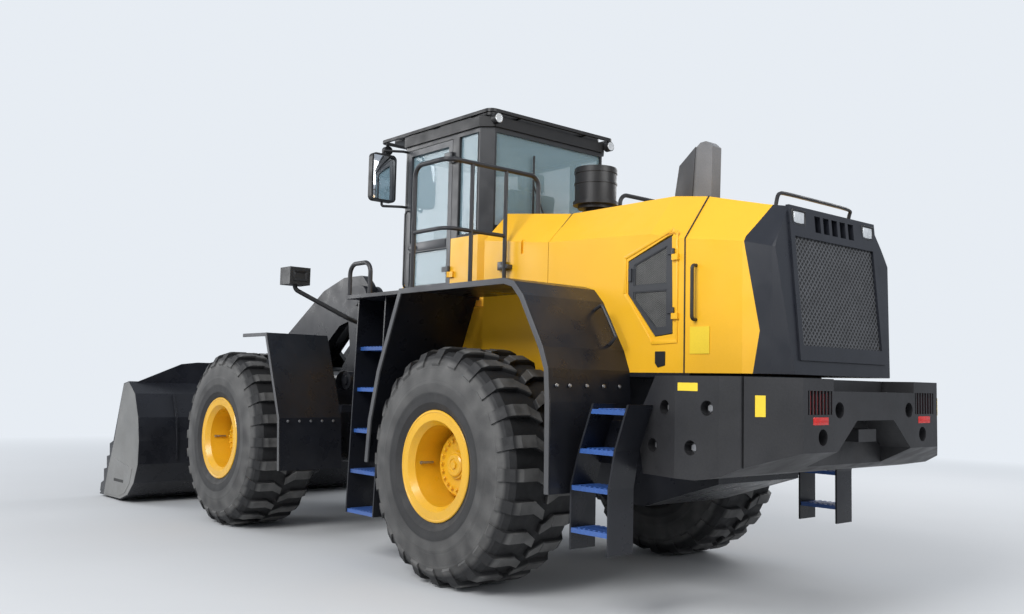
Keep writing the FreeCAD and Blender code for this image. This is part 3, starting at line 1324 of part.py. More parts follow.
BOOM_ARM = (
    # x and z of the arm's corners, from the front axle and the ground
    (-1050, 2230), (-1050, 2470), (-920, 2590), (-560, 2590), (-140, 2470), (620, 2030),
    (1050, 1700), (1330, 1300), (1460, 980), (1590, 720), (1775, 540), (1790, 400), (1690, 300),
    (1540, 340), (1250, 720), (720, 1200), (450, 1300), (0, 1720), (-500, 2080), (-900, 2170),
)


def boom():
    corners = [(front + x, z) for x, z in BOOM_ARM]
    arm = prism("boom arm", "XZ", corners, size.arm_inner, arm_outer,
                rounds=[((0, 1), 100), ((2, 3), 60), ((10, 11, 12), 60), ((4, 5, 6), 200)])
    pieces = [arm, mirror(arm)]
    x, z = crank_pivot
    beam = (x - 344, z - 280)
    pieces.append(cross_pin("cross tube", beam, 110, -size.arm_inner, size.arm_inner))
    for side in (1, -1):
        low, high = ((crank_ear_low, crank_ear_high) if side > 0
                     else (-crank_ear_high, -crank_ear_low))
        pieces.append(eye_plate("crank ear", beam, 130, crank_pivot, 120, low, high))
        start, stop = ((arm_outer - 10, size.lift_side - 60) if side > 0
                       else (60 - size.lift_side, 10 - arm_outer))
        pieces.append(cross_pin("lift boss", lift_eye, size.lift_pin_radius + 60, start, stop))
    body = fuse("boom body", *pieces)
    node("boom", cut("boom", body,
         cross_pin("boom bore", boom_pivot, size.boom_pin_radius + size.running_gap, -700, 700),
         cross_pin("bucket bore", bucket_pin, size.bucket_pin_radius + size.running_gap, -700, 700),
         cross_pin("crank bore", crank_pivot, size.crank_pin_radius + size.running_gap, -300, 300)))
    pins = [cross_pin("bucket pin", bucket_pin, size.bucket_pin_radius, *ends)
            for ends in ((size.arm_inner - 80, arm_outer + 80), (-arm_outer - 80, 80 - size.arm_inner))]
    node("bucket_pins", group("bucket pins", *pins))


BUCKET_BACK = (
    # x and z of the shell's outside, from the front axle and the bucket's underside
    (2946, 0), (2370, 5), (2130, 75), (1950, 230), (1850, 450), (1850, 720), (1910, 990),
    (2049, 1266), (2274, 1407),
)


SIDE_CUTTER = (
    # x from the front axle and z of the cutter in the plane of the side plate
    (2700, 700), (2820, 660), (2800, 520), (2900, 500), (2880, 360), (2980, 340), (2960, 200),
    (3060, 160), (3078, 60), (2900, 45),
)
TEETH = 8
TOOTH = 110


def bucket():
    low = size.bucket_floor
    back = [(front + x, low + z) for x, z in BUCKET_BACK]
    half = size.bucket_half
    shell = prism("bucket shell", "XZ", strip(back, size.bucket_shell), -half + size.bucket_side,
                  half - size.bucket_side)
    side_plate = prism("bucket side", "XZ", back + [(front + 2441, low + 1379)],
                       half - size.bucket_side, half)
    edge = prism("cutting edge", "XZ", [
        (front + 2850, low), (front + 3000, low), (front + 2900, low + 45), (front + 2850, low + 45)],
        -half, half)
    trim = []
    pitch = (2 * half - TOOTH) / (TEETH - 1)
    for index in range(TEETH):
        y = index * pitch - half
        trim.append(prism("tooth", "XZ", [
            (front + 2790, low + 30), (front + 2900, low), (front + 3080, low), (front + 3080, low + 12),
            (front + 2940, low + 85), (front + 2790, low + 85)], y, y + TOOTH))
    side_cutter = prism("side cutter", "XZ", [(front + x, z) for x, z in SIDE_CUTTER],
                        half - size.bucket_side, half)
    guard_x = front + 2250
    guard_low = low + 1365
    trim += [side_cutter, mirror(side_cutter)]
    trim.append(prism("spill guard", "YZ", [
        (10 - half, guard_low), (half - 10, guard_low), (1070, guard_low + 265), (867, guard_low + 290),
        (-867, guard_low + 290), (-1070, guard_low + 265)], guard_x, guard_x + 20))
    ears = []
    inner_pair = ((size.arm_inner - size.side_gap - 50, size.arm_inner - size.side_gap),
                  (arm_outer + size.side_gap, arm_outer + size.side_gap + 50))
    x, z = bucket_pin
    for start, stop in inner_pair + tuple((-b, -a) for a, b in inner_pair):
        ears.append(prism("bucket ear", "XZ", [
            (x - 100, z - 60), (x - 20, z - 115), (front + 1990, z - 250), (front + 1900, z + 220),
            (x - 30, z + 110), (x - 100, z + 60)], start, stop))
    link_x, link_z = link_eye
    for side in (1, -1):
        start, stop = ((link_ear_inner, link_ear_outer) if side > 0
                       else (-link_ear_outer, -link_ear_inner))
        ears.append(prism("link ear", "XZ", [
            (link_x - 90, link_z - 60), (front + 1880, link_z - 300), (front + 1880, link_z + 250),
            (link_x - 90, link_z + 60)], start, stop))
    body = fuse("bucket body", shell, side_plate, mirror(side_plate), edge, *trim, *ears)
    node("bucket", cut("bucket", body,
         cross_pin("bucket bore", bucket_pin, size.bucket_pin_radius + size.running_gap, -700, 700)))


def steering_rams():
    back = (-size.steer_base_back, size.steer_base_side)
    eye = (size.steer_eye_ahead, size.steer_eye_side)
    angle, run = angle_between(back, eye)
    pin = size.steer_pin_radius
    half_eye = 40
    barrel_length = 620
    rod_length = 720
    for side, word in ((1, "left"), (-1, "right")):
        turn = Rotation(Vector(0, 0, 1), angle * side)
        place = (hinge - size.steer_base_back, size.steer_base_side * side, size.steer_level)
        barrel = fuse("steering barrel solid",
                      upright_pin("base eye", (0, 0), pin + 25, -half_eye, half_eye),
                      rod("neck", "X", (pin + 15, 0, 0), half_eye - 4, pin + 30),
                      rod("tube", "X", (2 * pin + 10, 0, 0), size.steer_barrel_radius,
                          barrel_length - 2 * pin - 10))
        barrel = cut("steering barrel", barrel,
                     upright_pin("pin bore", (0, 0), pin + size.running_gap, -100, 100),
                     rod("tube bore", "X", (2 * pin + 15, 0, 0),
                         size.steer_rod_radius + size.running_gap, barrel_length))
        rod_item = fuse("steering rod",
                        rod("rod", "X", (run - rod_length, 0, 0), size.steer_rod_radius,
                            rod_length - pin),
                        upright_pin("rod eye", (run, 0), pin + 20, -half_eye, half_eye))
        node("steer_barrel_" + word, put(barrel, place, turn))
        node("steer_rod_" + word, put(rod_item, place, turn))


def check(items):
    """Stops if any object of the document failed or a sub-part is not a sound solid."""
    for item in doc.Objects:
        if "Invalid" in item.State or "Error" in item.State:
            raise RuntimeError("failed object: " + item.Label + " " + str(item.State))
    for item in items:
        shape = item.Shape
        if shape.isNull() or not shape.isValid() or not shape.Solids:
            raise RuntimeError("unsound sub-part: " + item.Label)


tyre_solid = tyre()
for tag, axle_x, side in (("front_left", front, 1), ("front_right", front, -1),
                          ("rear_left", rear, 1), ("rear_right", rear, -1)):
    wheel(tag, axle_x, side, tyre_solid)
rear_frame()
power_train()
lamps = counterweight()
hood()
lamps += rear_cowl()
node("tail_lamps", group("tail lamps", *lamps))
front_cowl()
intake_and_exhaust()
cab_parts()
fenders_and_decks()
rails()
front_frame()
linkage()
boom()
bucket()
steering_rams()
doc.recompute()
check(nodes)

os.makedirs("parts", exist_ok=True)
for item in nodes:
    item.Shape.exportStep("parts/" + item.Label + ".step")
    corners = item.Shape.BoundBox
    print(item.Label, len(item.Shape.Solids), round(item.Shape.Volume / 1e9, 4),
          [round(number) for number in (corners.XMin, corners.XMax, corners.YMin, corners.YMax,
                                        corners.ZMin, corners.ZMax)])
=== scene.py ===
import math

import bpy
from bpy.props import FloatProperty, FloatVectorProperty, PointerProperty
from mathutils import Matrix, Vector


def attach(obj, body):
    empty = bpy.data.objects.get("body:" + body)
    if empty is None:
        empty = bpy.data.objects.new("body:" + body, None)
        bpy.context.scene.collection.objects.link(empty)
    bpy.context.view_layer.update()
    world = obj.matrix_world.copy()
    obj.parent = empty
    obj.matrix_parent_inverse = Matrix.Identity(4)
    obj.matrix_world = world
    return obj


bl_info = {
    "name": "Wheel loader looks",
    "version": (1, 0, 0),
    "blender": (4, 5, 0),
    "location": "3D View > Sidebar > Loader",
    "description": "Finishes and details for an articulated wheel loader",
    "category": "Object",
}

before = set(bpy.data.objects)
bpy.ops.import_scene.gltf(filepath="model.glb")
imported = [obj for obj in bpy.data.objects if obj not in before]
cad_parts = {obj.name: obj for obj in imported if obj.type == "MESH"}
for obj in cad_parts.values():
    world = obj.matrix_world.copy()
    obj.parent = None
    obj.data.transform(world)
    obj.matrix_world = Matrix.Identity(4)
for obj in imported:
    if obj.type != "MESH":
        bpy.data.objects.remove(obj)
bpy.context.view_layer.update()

REAR_AXLE_X = -2.0775
FRONT_AXLE_X = 1.6225
AXLE_HEIGHT = 0.885


SIDES = ((1, "left"), (-1, "right"))
# half a millimetre inside the hood's side, for what sits on it
HOOD_SIDE_Y = 0.7995
# one centimetre inside the hood's side
RECESS_Y = 0.790


def spot(x, y, z):
    """A point counted from the rear axle, in the frame of the CAD model."""
    return Vector((REAR_AXLE_X + x, y, z))


# Materials

def new_material(name):
    """A new node material: its tree, its shader and the coordinates that its patterns read."""
    material = bpy.data.materials.new(name)
    material.use_nodes = True
    tree = material.node_tree
    place = tree.nodes.new("ShaderNodeTexCoord").outputs["Object"]
    return tree, tree.nodes["Principled BSDF"], place


def feed(tree, socket, value):
    """Links a socket to another one, or sets it to a number or a colour."""
    if isinstance(value, bpy.types.NodeSocket):
        tree.links.new(value, socket)
    elif isinstance(value, (int, float)):
        socket.default_value = value
    else:
        socket.default_value = tuple(value) + (1.0,)


def dress(tree, node, values):
    """Feeds several of a node's inputs by name."""
    for name, value in values.items():
        feed(tree, node.inputs[name], value)


def calculate(tree, operation, *values):
    """One step of arithmetic on numbers and sockets."""
    node = tree.nodes.new("ShaderNodeMath")
    node.operation = operation
    for socket, value in zip(node.inputs, values):
        feed(tree, socket, value)
    return node.outputs["Value"]


def mix(tree, amount, first, second, blend="MIX"):
    """Blends two colours or sockets by a factor."""
    node = tree.nodes.new("ShaderNodeMix")
    node.data_type = "RGBA"
    node.blend_type = blend
    # sockets 0, 6 and 7 are the factor and the two colours, output 2 is the colour
    for index, value in ((0, amount), (6, first), (7, second)):
        feed(tree, node.inputs[index], value)
    return node.outputs[2]


def length(tree, vector):
    """The length of a vector."""
    node = tree.nodes.new("ShaderNodeVectorMath")
    node.operation = "LENGTH"
    tree.links.new(vector, node.inputs[0])
    return node.outputs["Value"]


def noise(tree, place, scale, detail):
    """A cloudy pattern of numbers."""
    texture = tree.nodes.new("ShaderNodeTexNoise")
    dress(tree, texture, {"Vector": place, "Scale": scale, "Detail": detail})
    return texture.outputs["Fac"]


def grey(level):
    """A colour without a hue."""
    return (level, level, level)


def shade(colour, factor):
    """A colour made darker or lighter."""
    return tuple(min(1.0, channel * factor) for channel in colour)


def ramp(tree, source, stops):
    """Turns a number into a colour or a grey: stops are (position, colour or grey level)."""
    node = tree.nodes.new("ShaderNodeValToRGB")
    elements = node.color_ramp.elements
    while len(elements) < len(stops):
        elements.new(0.5)
    for element, (position, colour) in zip(elements, stops):
        element.position = position
        element.color = (grey(colour) if isinstance(colour, float) else tuple(colour)) + (1.0,)
    tree.links.new(source, node.inputs["Fac"])
    return node.outputs["Color"]


def patchy(tree, place, scale, detail, first, second, span=(0.3, 0.7)):
    """Noise that wanders between two colours or grey levels."""
    return ramp(tree, noise(tree, place, scale, detail), list(zip(span, (first, second))))


def coordinates(tree, place):
    """The object coordinates, split into X, Y and Z."""
    split = tree.nodes.new("ShaderNodeSeparateXYZ")
    tree.links.new(place, split.inputs["Vector"])
    return split.outputs


def pattern(tree, vector, kind, scale, output="Fac", **settings):
    """One of Blender's patterns, laid on a vector."""
    node = tree.nodes.new(kind)
    for name, value in settings.items():
        setattr(node, name, value)
    dress(tree, node, {"Vector": vector, "Scale": scale})
    return node.outputs[output]


def low_dust(tree, place, top, fade, strength):
    """A factor that is strongest near the ground and broken up by noise."""
    span = tree.nodes.new("ShaderNodeMapRange")
    dress(tree, span, {"Value": coordinates(tree, place)["Z"], "From Min": top,
                       "From Max": top - fade, "To Min": 0.0, "To Max": strength})
    return calculate(tree, "MULTIPLY", span.outputs["Result"],
                     patchy(tree, place, 3.0, 6.0, 0.25, 1.0))


def add_bump(tree, shader, height, strength, distance):
    """Lets a pattern raise the surface by up to a distance in metres."""
    bump = tree.nodes.new("ShaderNodeBump")
    dress(tree, bump, {"Strength": strength, "Distance": distance, "Height": height})
    tree.links.new(bump.outputs["Normal"], shader.inputs["Normal"])


ROAD_DUST = (0.32, 0.30, 0.27)


def paint(name, colour, roughness, metallic=0.0, coat=0.0, gloss=0.5, grain=0.25, mottle=0.12,
          dust=0.25, dust_top=1.4, dust_fade=1.3, dust_colour=ROAD_DUST, bump=0.15,
          bump_scale=60.0):
    """Sprayed paint: a little darker and lighter in patches, road dust low down, orange peel."""
    tree, shader, place = new_material(name)
    base = patchy(tree, place, 1.7, 5.0, shade(colour, 1.0 - mottle), shade(colour, 1.0 + mottle))
    specks = patchy(tree, place, 90.0, 3.0, 1.0 - grain * 0.5, 1.0, (0.25, 0.6))
    speckled = mix(tree, 1.0, base, specks, "MULTIPLY")
    dusty = mix(tree, low_dust(tree, place, dust_top, dust_fade, dust), speckled, dust_colour)
    dress(tree, shader, {
        "Base Color": dusty,
        "Roughness": patchy(tree, place, 6.0, 6.0, max(0.0, roughness - 0.08),
                            min(1.0, roughness + 0.12)),
        "Metallic": metallic,
        "Specular IOR Level": gloss,
        "Coat Weight": coat,
        "Coat Roughness": 0.22,
    })
    add_bump(tree, shader, noise(tree, place, bump_scale, 4.0), bump, 0.0012)


TYRE_DUST = (
    # distance from the axle's line and share of dust there
    (0.400, 0.05), (0.500, 0.16), (0.535, 0.08), (0.550, 0.50), (0.775, 0.80), (0.800, 0.0),
    (0.866, 0.02), (0.876, 0.95),
)
# half the distance between two rings moulded into the sidewall
HALF_RING_STEP = 0.045


def tyre_radius(tree, place):
    """Distance from the nearer axle's line, the same for front and rear wheels."""
    split = coordinates(tree, place)
    along = split["X"]
    for amount in ((REAR_AXLE_X + FRONT_AXLE_X) / 2, (FRONT_AXLE_X - REAR_AXLE_X) / 2):
        along = calculate(tree, "ABSOLUTE", calculate(tree, "SUBTRACT", along, amount))
    both = tree.nodes.new("ShaderNodeCombineXYZ")
    dress(tree, both, {"X": along, "Y": calculate(tree, "SUBTRACT", split["Z"], AXLE_HEIGHT)})
    return length(tree, both.outputs["Vector"])


def rubber(name, colour, dusty_colour, roughness):
    """Tyre rubber: dusty sidewalls with moulded rings, black tread gaps and worn lug faces."""
    tree, shader, place = new_material(name)
    radius = tyre_radius(tree, place)
    scuff = patchy(tree, place, 7.0, 10.0, 0.25, 1.0, (0.30, 0.72))
    amount = mix(tree, 1.0, ramp(tree, radius, TYRE_DUST), scuff, "MULTIPLY")
    dress(tree, shader, {
        "Base Color": mix(tree, amount, colour, dusty_colour),
        "Roughness": patchy(tree, place, 14.0, 5.0, roughness - 0.12, min(1.0, roughness + 0.1)),
    })
    rings = calculate(tree, "PINGPONG", radius, HALF_RING_STEP)
    step = ramp(tree, rings, [(0.004, 0.0), (0.008, 0.5)])
    relief = calculate(tree, "ADD", step, noise(tree, place, 110.0, 6.0))
    add_bump(tree, shader, relief, 0.35, 0.003)


def tinted_glass(name, colour, alpha):
    """Window glass with a tint and faint smears."""
    tree, shader, place = new_material(name)
    dress(tree, shader, {
        "Base Color": patchy(tree, place, 0.8, 2.0, shade(colour, 0.85), colour, (0.2, 0.8)),
        "Roughness": patchy(tree, place, 2.5, 4.0, 0.02, 0.10, (0.3, 0.8)),
        "Alpha": alpha,
        "IOR": 1.5,
        "Specular IOR Level": 0.8,
    })


def metal(name, colour, roughness):
    """Ground or plated steel with fine machining marks."""
    tree, shader, place = new_material(name)
    dress(tree, shader, {
        "Base Color": patchy(tree, place, 12.0, 4.0, shade(colour, 0.82), colour),
        "Roughness": patchy(tree, place, 40.0, 4.0, roughness * 0.8, min(1.0, roughness * 1.3)),
        "Metallic": 1.0,
    })
    add_bump(tree, shader, noise(tree, place, 160.0, 3.0), 0.08, 0.0006)


def lens(name, colour):
    """Moulded lamp lens with vertical ribs."""
    tree, shader, place = new_material(name)
    dress(tree, shader, {
        "Base Color": patchy(tree, place, 30.0, 2.0, shade(colour, 0.8), colour),
        "Roughness": 0.12,
    })
    ribs = pattern(tree, place, "ShaderNodeTexWave", 28.0, bands_direction="Y")
    add_bump(tree, shader, ribs, 0.4, 0.002)


def fabric(name, colour):
    """Woven seat cloth."""
    tree, shader, place = new_material(name)
    dress(tree, shader, {
        "Base Color": patchy(tree, place, 220.0, 2.0, shade(colour, 0.6), shade(colour, 1.4)),
        "Roughness": 0.9,
    })
    weave = pattern(tree, place, "ShaderNodeTexChecker", 260.0)
    add_bump(tree, shader, weave, 0.4, 0.001)


def two_tone(name, low_colour, high_colour, belt, step_x, low_belt, roughness):
    """Cab paint: one colour under a belt line that steps down at one x, another above it."""
    tree, shader, place = new_material(name)
    split = coordinates(tree, place)
    ahead = calculate(tree, "GREATER_THAN", split["X"], step_x)
    line = calculate(tree, "MULTIPLY_ADD", ahead, low_belt - belt, belt)
    above = calculate(tree, "GREATER_THAN", split["Z"], line)
    patch = noise(tree, place, 2.0, 5.0)
    low = ramp(tree, patch, [(0.3, shade(low_colour, 0.96)), (0.7, low_colour)])
    high = ramp(tree, patch, [(0.3, shade(high_colour, 0.8)), (0.7, high_colour)])
    dress(tree, shader, {
        "Base Color": mix(tree, above, low, high),
        "Roughness": patchy(tree, place, 8.0, 5.0, roughness - 0.06, roughness + 0.1),
    })
    add_bump(tree, shader, noise(tree, place, 70.0, 4.0), 0.06, 0.001)


# the bands of a wave texture lie this many metres apart at a scale of 1
WAVE_BAND = 0.314


def wire_mesh(name, across, pitch, wire, hole_shade, thin=0.80):
    """Woven wire: two sets of slanted wires over openings in a flat dark colour, painted shade of the space
    behind; across is the axis it faces.
    """
    tree, shader, place = new_material(name)
    turn = tree.nodes.new("ShaderNodeMapping")
    slant = math.radians(45)
    turn.inputs["Rotation"].default_value = (slant, 0, 0) if across == "X" else (0, slant, 0)
    tree.links.new(place, turn.inputs["Vector"])
    waves = [pattern(tree, turn.outputs["Vector"], "ShaderNodeTexWave", WAVE_BAND / pitch,
                     bands_direction=axis)
             for axis in (("Y", "Z") if across == "X" else ("X", "Z"))]
    best = calculate(tree, "MAXIMUM", *waves)
    # the openings get a flat dark colour: painted shade of the space seen through the mesh
    tint = ramp(tree, best, [(thin - 0.06, hole_shade), (thin, wire)])
    dress(tree, shader, {
        "Base Color": mix(tree, 1.0, tint, patchy(tree, place, 9.0, 5.0, 0.7, 1.0), "MULTIPLY"),
        "Roughness": 0.55,
        "Metallic": 0.3,
    })
    add_bump(tree, shader, best, 0.8, 0.004)


def glow(name, colour):
    """Clear moulded lamp glass over a bright reflector."""
    tree, shader, place = new_material(name)
    dress(tree, shader, {
        "Base Color": patchy(tree, place, 24.0, 3.0, shade(colour, 0.75), colour),
        "Roughness": 0.15,
        "Metallic": 0.55,
    })
    cells = pattern(tree, place, "ShaderNodeTexVoronoi", 60.0, "Distance")
    add_bump(tree, shader, cells, 0.35, 0.002)


# Shaping: each helper leaves one object whose place is in its mesh

def leave_edit():
    """Back to object mode with nothing selected."""
    if bpy.context.object and bpy.context.object.mode == "EDIT":
        bpy.ops.object.mode_set(mode="OBJECT")
    bpy.ops.object.select_all(action="DESELECT")


def pick(item):
    """Makes one object the selected and active one."""
    leave_edit()
    item.select_set(True)
    bpy.context.view_layer.objects.active = item


def settle(item):
    """Puts an object's place and size into its mesh."""
    pick(item)
    bpy.ops.object.transform_apply(location=True, rotation=True, scale=True)
    return item


def edit_faces(item, test):
    """Opens a mesh for editing with only the faces selected whose normal passes a test."""
    pick(item)
    bpy.context.tool_settings.mesh_select_mode = (False, False, True)
    bpy.ops.object.mode_set(mode="EDIT")
    bpy.ops.mesh.select_all(action="DESELECT")
    bpy.ops.object.mode_set(mode="OBJECT")
    for face in item.data.polygons:
        face.select = test(face.normal)
    bpy.ops.object.mode_set(mode="EDIT")


def slab(low, high, bevel=0.004, segments=2):
    """A block between two corners with rounded edges."""
    leave_edit()
    low, high = Vector(low), Vector(high)
    bpy.ops.mesh.primitive_cube_add(size=1, location=(low + high) / 2)
    item = bpy.context.object
    item.scale = [abs(size) for size in high - low]
    settle(item)
    edit_faces(item, lambda normal: True)
    bpy.ops.mesh.bevel(offset=bevel, segments=segments, affect="EDGES")
    bpy.ops.object.mode_set(mode="OBJECT")
    return item


def plate(corners, push, bevel=0.002, segments=1):
    """A flat plate: the corners of its outline in space, pushed out to its thickness."""
    leave_edit()
    bpy.ops.mesh.primitive_circle_add(vertices=len(corners), radius=1, fill_type="NGON")
    item = bpy.context.object
    for vertex, corner in zip(item.data.vertices, corners):
        vertex.co = corner
    edit_faces(item, lambda normal: True)
    bpy.ops.mesh.extrude_region_move(TRANSFORM_OT_translate={"value": tuple(push)})
    bpy.ops.mesh.select_all(action="SELECT")
    bpy.ops.mesh.normals_make_consistent(inside=False)
    if bevel:
        bpy.ops.mesh.bevel(offset=bevel, segments=segments, affect="EDGES")
    bpy.ops.object.mode_set(mode="OBJECT")
    return item


def side_plate(outline, y, thickness, bevel, segments=1, axle_x=REAR_AXLE_X):
    """A plate that faces sideways, from y on: its outline is (x from an axle, z) points."""
    corners = [(axle_x + x, y, z) for x, z in outline]
    return plate(corners, (0, thickness, 0), bevel, segments)


def side_frame(outline, middle, width, y, thickness, bevel, segments=1):
    """Strips along a closed outline of (x, z) points, one width wide towards its middle."""
    strips = []
    for first, second in zip(outline, outline[1:] + outline[:1]):
        inner = [Vector(corner) + (middle - Vector(corner)).normalized() * width
                 for corner in (second, first)]
        strips.append(side_plate([first, second] + inner, y, thickness, bevel, segments))
    return joined(strips)


def inset_towards(item, direction, thickness, depth):
    """Insets the faces that look one way and pushes them in (or out, with a negative depth)."""
    direction = Vector(direction).normalized()
    edit_faces(item, lambda normal: normal.dot(direction) > 0.95)
    bpy.ops.mesh.inset(thickness=thickness, depth=-depth)
    bpy.ops.object.mode_set(mode="OBJECT")
    return item


def disc(centre, axis, radius, depth, bevel=0.003, sides=32, dish=None, segments=2):
    """A round plate that starts at a centre and rises along an axis, its rim rounded."""
    leave_edit()
    axis = Vector(axis).normalized()
    turn = axis.to_track_quat("Z", "Y").to_euler()
    bpy.ops.mesh.primitive_cylinder_add(vertices=sides, radius=radius, depth=depth,
                                        location=Vector(centre) + axis * depth / 2, rotation=turn)
    item = settle(bpy.context.object)
    edit_faces(item, lambda normal: normal.dot(axis) > 0.9)
    bpy.ops.mesh.bevel(offset=bevel, segments=segments, affect="EDGES")
    bpy.ops.object.mode_set(mode="OBJECT")
    if dish:
        inset_towards(item, axis, *dish)
    return item


def lathe(profile, centre, axis, steps=64):
    """Spins a closed profile of (radius, along the axis) points once round an axis."""
    leave_edit()
    axis = Vector(axis).normalized()
    out = axis.orthogonal().normalized()
    centre = Vector(centre)
    bpy.ops.mesh.primitive_circle_add(vertices=len(profile), radius=1)
    item = bpy.context.object
    item.location = (0, 0, 0)
    for vertex, (radius, rise) in zip(item.data.vertices, profile):
        vertex.co = centre + out * radius + axis * rise
    bpy.context.tool_settings.mesh_select_mode = (True, False, False)
    bpy.ops.object.mode_set(mode="EDIT")
    bpy.ops.mesh.select_all(action="SELECT")
    bpy.ops.mesh.spin(steps=steps, angle=math.tau, center=centre, axis=axis)
    bpy.ops.mesh.select_all(action="SELECT")
    bpy.ops.mesh.remove_doubles(threshold=0.0002)
    bpy.ops.mesh.normals_make_consistent(inside=False)
    bpy.ops.object.mode_set(mode="OBJECT")
    return item


def pipe(points, radius, sides=10):
    """A rigid tube along points, its corners rounded."""
    leave_edit()
    bpy.ops.curve.primitive_nurbs_path_add()
    item = bpy.context.object
    item.location = (0, 0, 0)
    spline = item.data.splines[0]
    while len(spline.points) < len(points):
        spline.points.add(1)
    for point, place in zip(spline.points, points):
        point.co = tuple(place) + (1.0,)
    for point in spline.points[len(points):]:
        point.co = tuple(points[-1]) + (1.0,)
    spline.order_u = 3
    spline.use_endpoint_u = True
    item.data.bevel_depth = radius
    item.data.bevel_resolution = max(1, sides // 4 - 1)
    item.data.use_fill_caps = True
    item.data.resolution_u = 6
    pick(item)
    bpy.ops.object.convert(target="MESH")
    return bpy.context.object


def copies(item, moves):
    """Copies of a piece, each with its own mesh, moved by matrices."""
    made = []
    for move in moves:
        other = item.copy()
        other.data = item.data.copy()
        bpy.context.scene.collection.objects.link(other)
        other.data.transform(move)
        made.append(other)
    return made


def joined(items):
    """Several pieces as one mesh."""
    leave_edit()
    for item in items:
        item.select_set(True)
    bpy.context.view_layer.objects.active = items[0]
    if len(items) > 1:
        bpy.ops.object.join()
    return bpy.context.object


def finished(item, name, body, finish, smooth=35):
    """Names a piece, gives it its finish and says what it rides on."""
    pick(item)
    bpy.ops.object.shade_smooth_by_angle(angle=math.radians(smooth))
    item.name = name
    item.data.name = name
    item.data.materials.clear()
    item.data.materials.append(bpy.data.materials[finish])
    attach(item, body)
    return item


def hex_bolt(centre, axis, radius, height):
    """A hexagon head on a washer."""
    washer = disc(centre, axis, radius * 1.25, height * 0.25, bevel=height * 0.06, sides=16)
    head = disc(centre, axis, radius, height, bevel=radius * 0.12, sides=6, segments=1)
    return joined([washer, head])


def bolt_row(places, axis, radius, height):
    """One bolt modelled at the first place and copied to the others, as one mesh."""
    first = hex_bolt(places[0], axis, radius, height)
    moves = [Matrix.Translation(Vector(place) - Vector(places[0])) for place in places[1:]]
    return joined([first] + copies(first, moves))


class LoaderFinish(bpy.types.PropertyGroup):
    """Colours of the machine's main finishes."""
    body: FloatVectorProperty(name="Body yellow", description="Paint of hood and cab base",
                              subtype="COLOR", size=3, min=0, max=1, default=(0.86, 0.455, 0.018))
    rim: FloatVectorProperty(name="Rim yellow", description="Paint of the wheels' rims",
                             subtype="COLOR", size=3, min=0, max=1, default=(0.76, 0.41, 0.012))
    dark: FloatVectorProperty(name="Frame black", description="Blue black paint of frames and fenders",
                              subtype="COLOR", size=3, min=0, max=1, default=(0.011, 0.012, 0.016))
    weight: FloatVectorProperty(name="Counterweight grey", description="Paint of the counterweight",
                                subtype="COLOR", size=3, min=0, max=1, default=(0.022, 0.022, 0.024))
    steps: FloatVectorProperty(name="Step blue", description="Paint of the ladder treads",
                               subtype="COLOR", size=3, min=0, max=1, default=(0.022, 0.085, 0.30))


class LoaderStage(bpy.types.PropertyGroup):
    """Sizes and levels of the studio."""
    floor: FloatVectorProperty(name="Floor", description="Colour of the floor",
                               subtype="COLOR", size=3, min=0, max=1, default=(0.56, 0.57, 0.58))
    key: FloatProperty(name="Key light", description="Power of the main soft lamp", default=2050.0,
                       min=0, unit="POWER")
    lens_length: FloatProperty(name="Lens", description="Camera's focal length in millimetres",
                               default=34.09, min=1)


FINISH_OF_NODE = {
    # finish: the CAD nodes that carry it
    "tyre_rubber": ["tyre_front_left", "tyre_front_right", "tyre_rear_left", "tyre_rear_right"],
    "rim_paint": ["rim_front_left", "rim_front_right", "rim_rear_left", "rim_rear_right"],
    "body_paint": ["hood", "cab_base", "rear_cowl", "front_cowl"],
    "cylinder_paint": ["lift_barrels", "tilt_barrel", "steer_barrel_left", "steer_barrel_right"],
    "frame_paint": ["rear_frame", "front_frame", "rear_axle", "front_axle", "side_decks",
                    "rear_steps", "fender_brackets", "bell_crank", "tilt_link", "front_fenders",
                    "rear_fenders", "transmission", "engine_block", "boom"],
    "rail_paint": ["handrails", "entry_rails"],
    "bucket_paint": ["bucket"],
    "shroud_paint": ["rear_grille"],
    "cowl_plastic": ["pre_cleaner", "mirrors", "headlamps", "cab_roof", "steering_console"],
    "vent_grey": ["vent_door_left", "vent_door_right", "cab_door"],
    "stack_steel": ["exhaust"],
    "cab_paint": ["cab_frame"],
    "weight_paint": ["counterweight"],
    "step_paint": ["ladders"],
    "cab_window": ["cab_glass", "door_glass"],
    "red_lens": ["tail_lamps"],
    "seat_cloth": ["seat"],
    "ground_steel": ["hinge_pins", "bucket_pins", "crank_pin", "link_pin", "tilt_base_pin",
                     "tilt_piston", "tilt_rod", "lift_rods", "steer_rod_left", "steer_rod_right"],
}


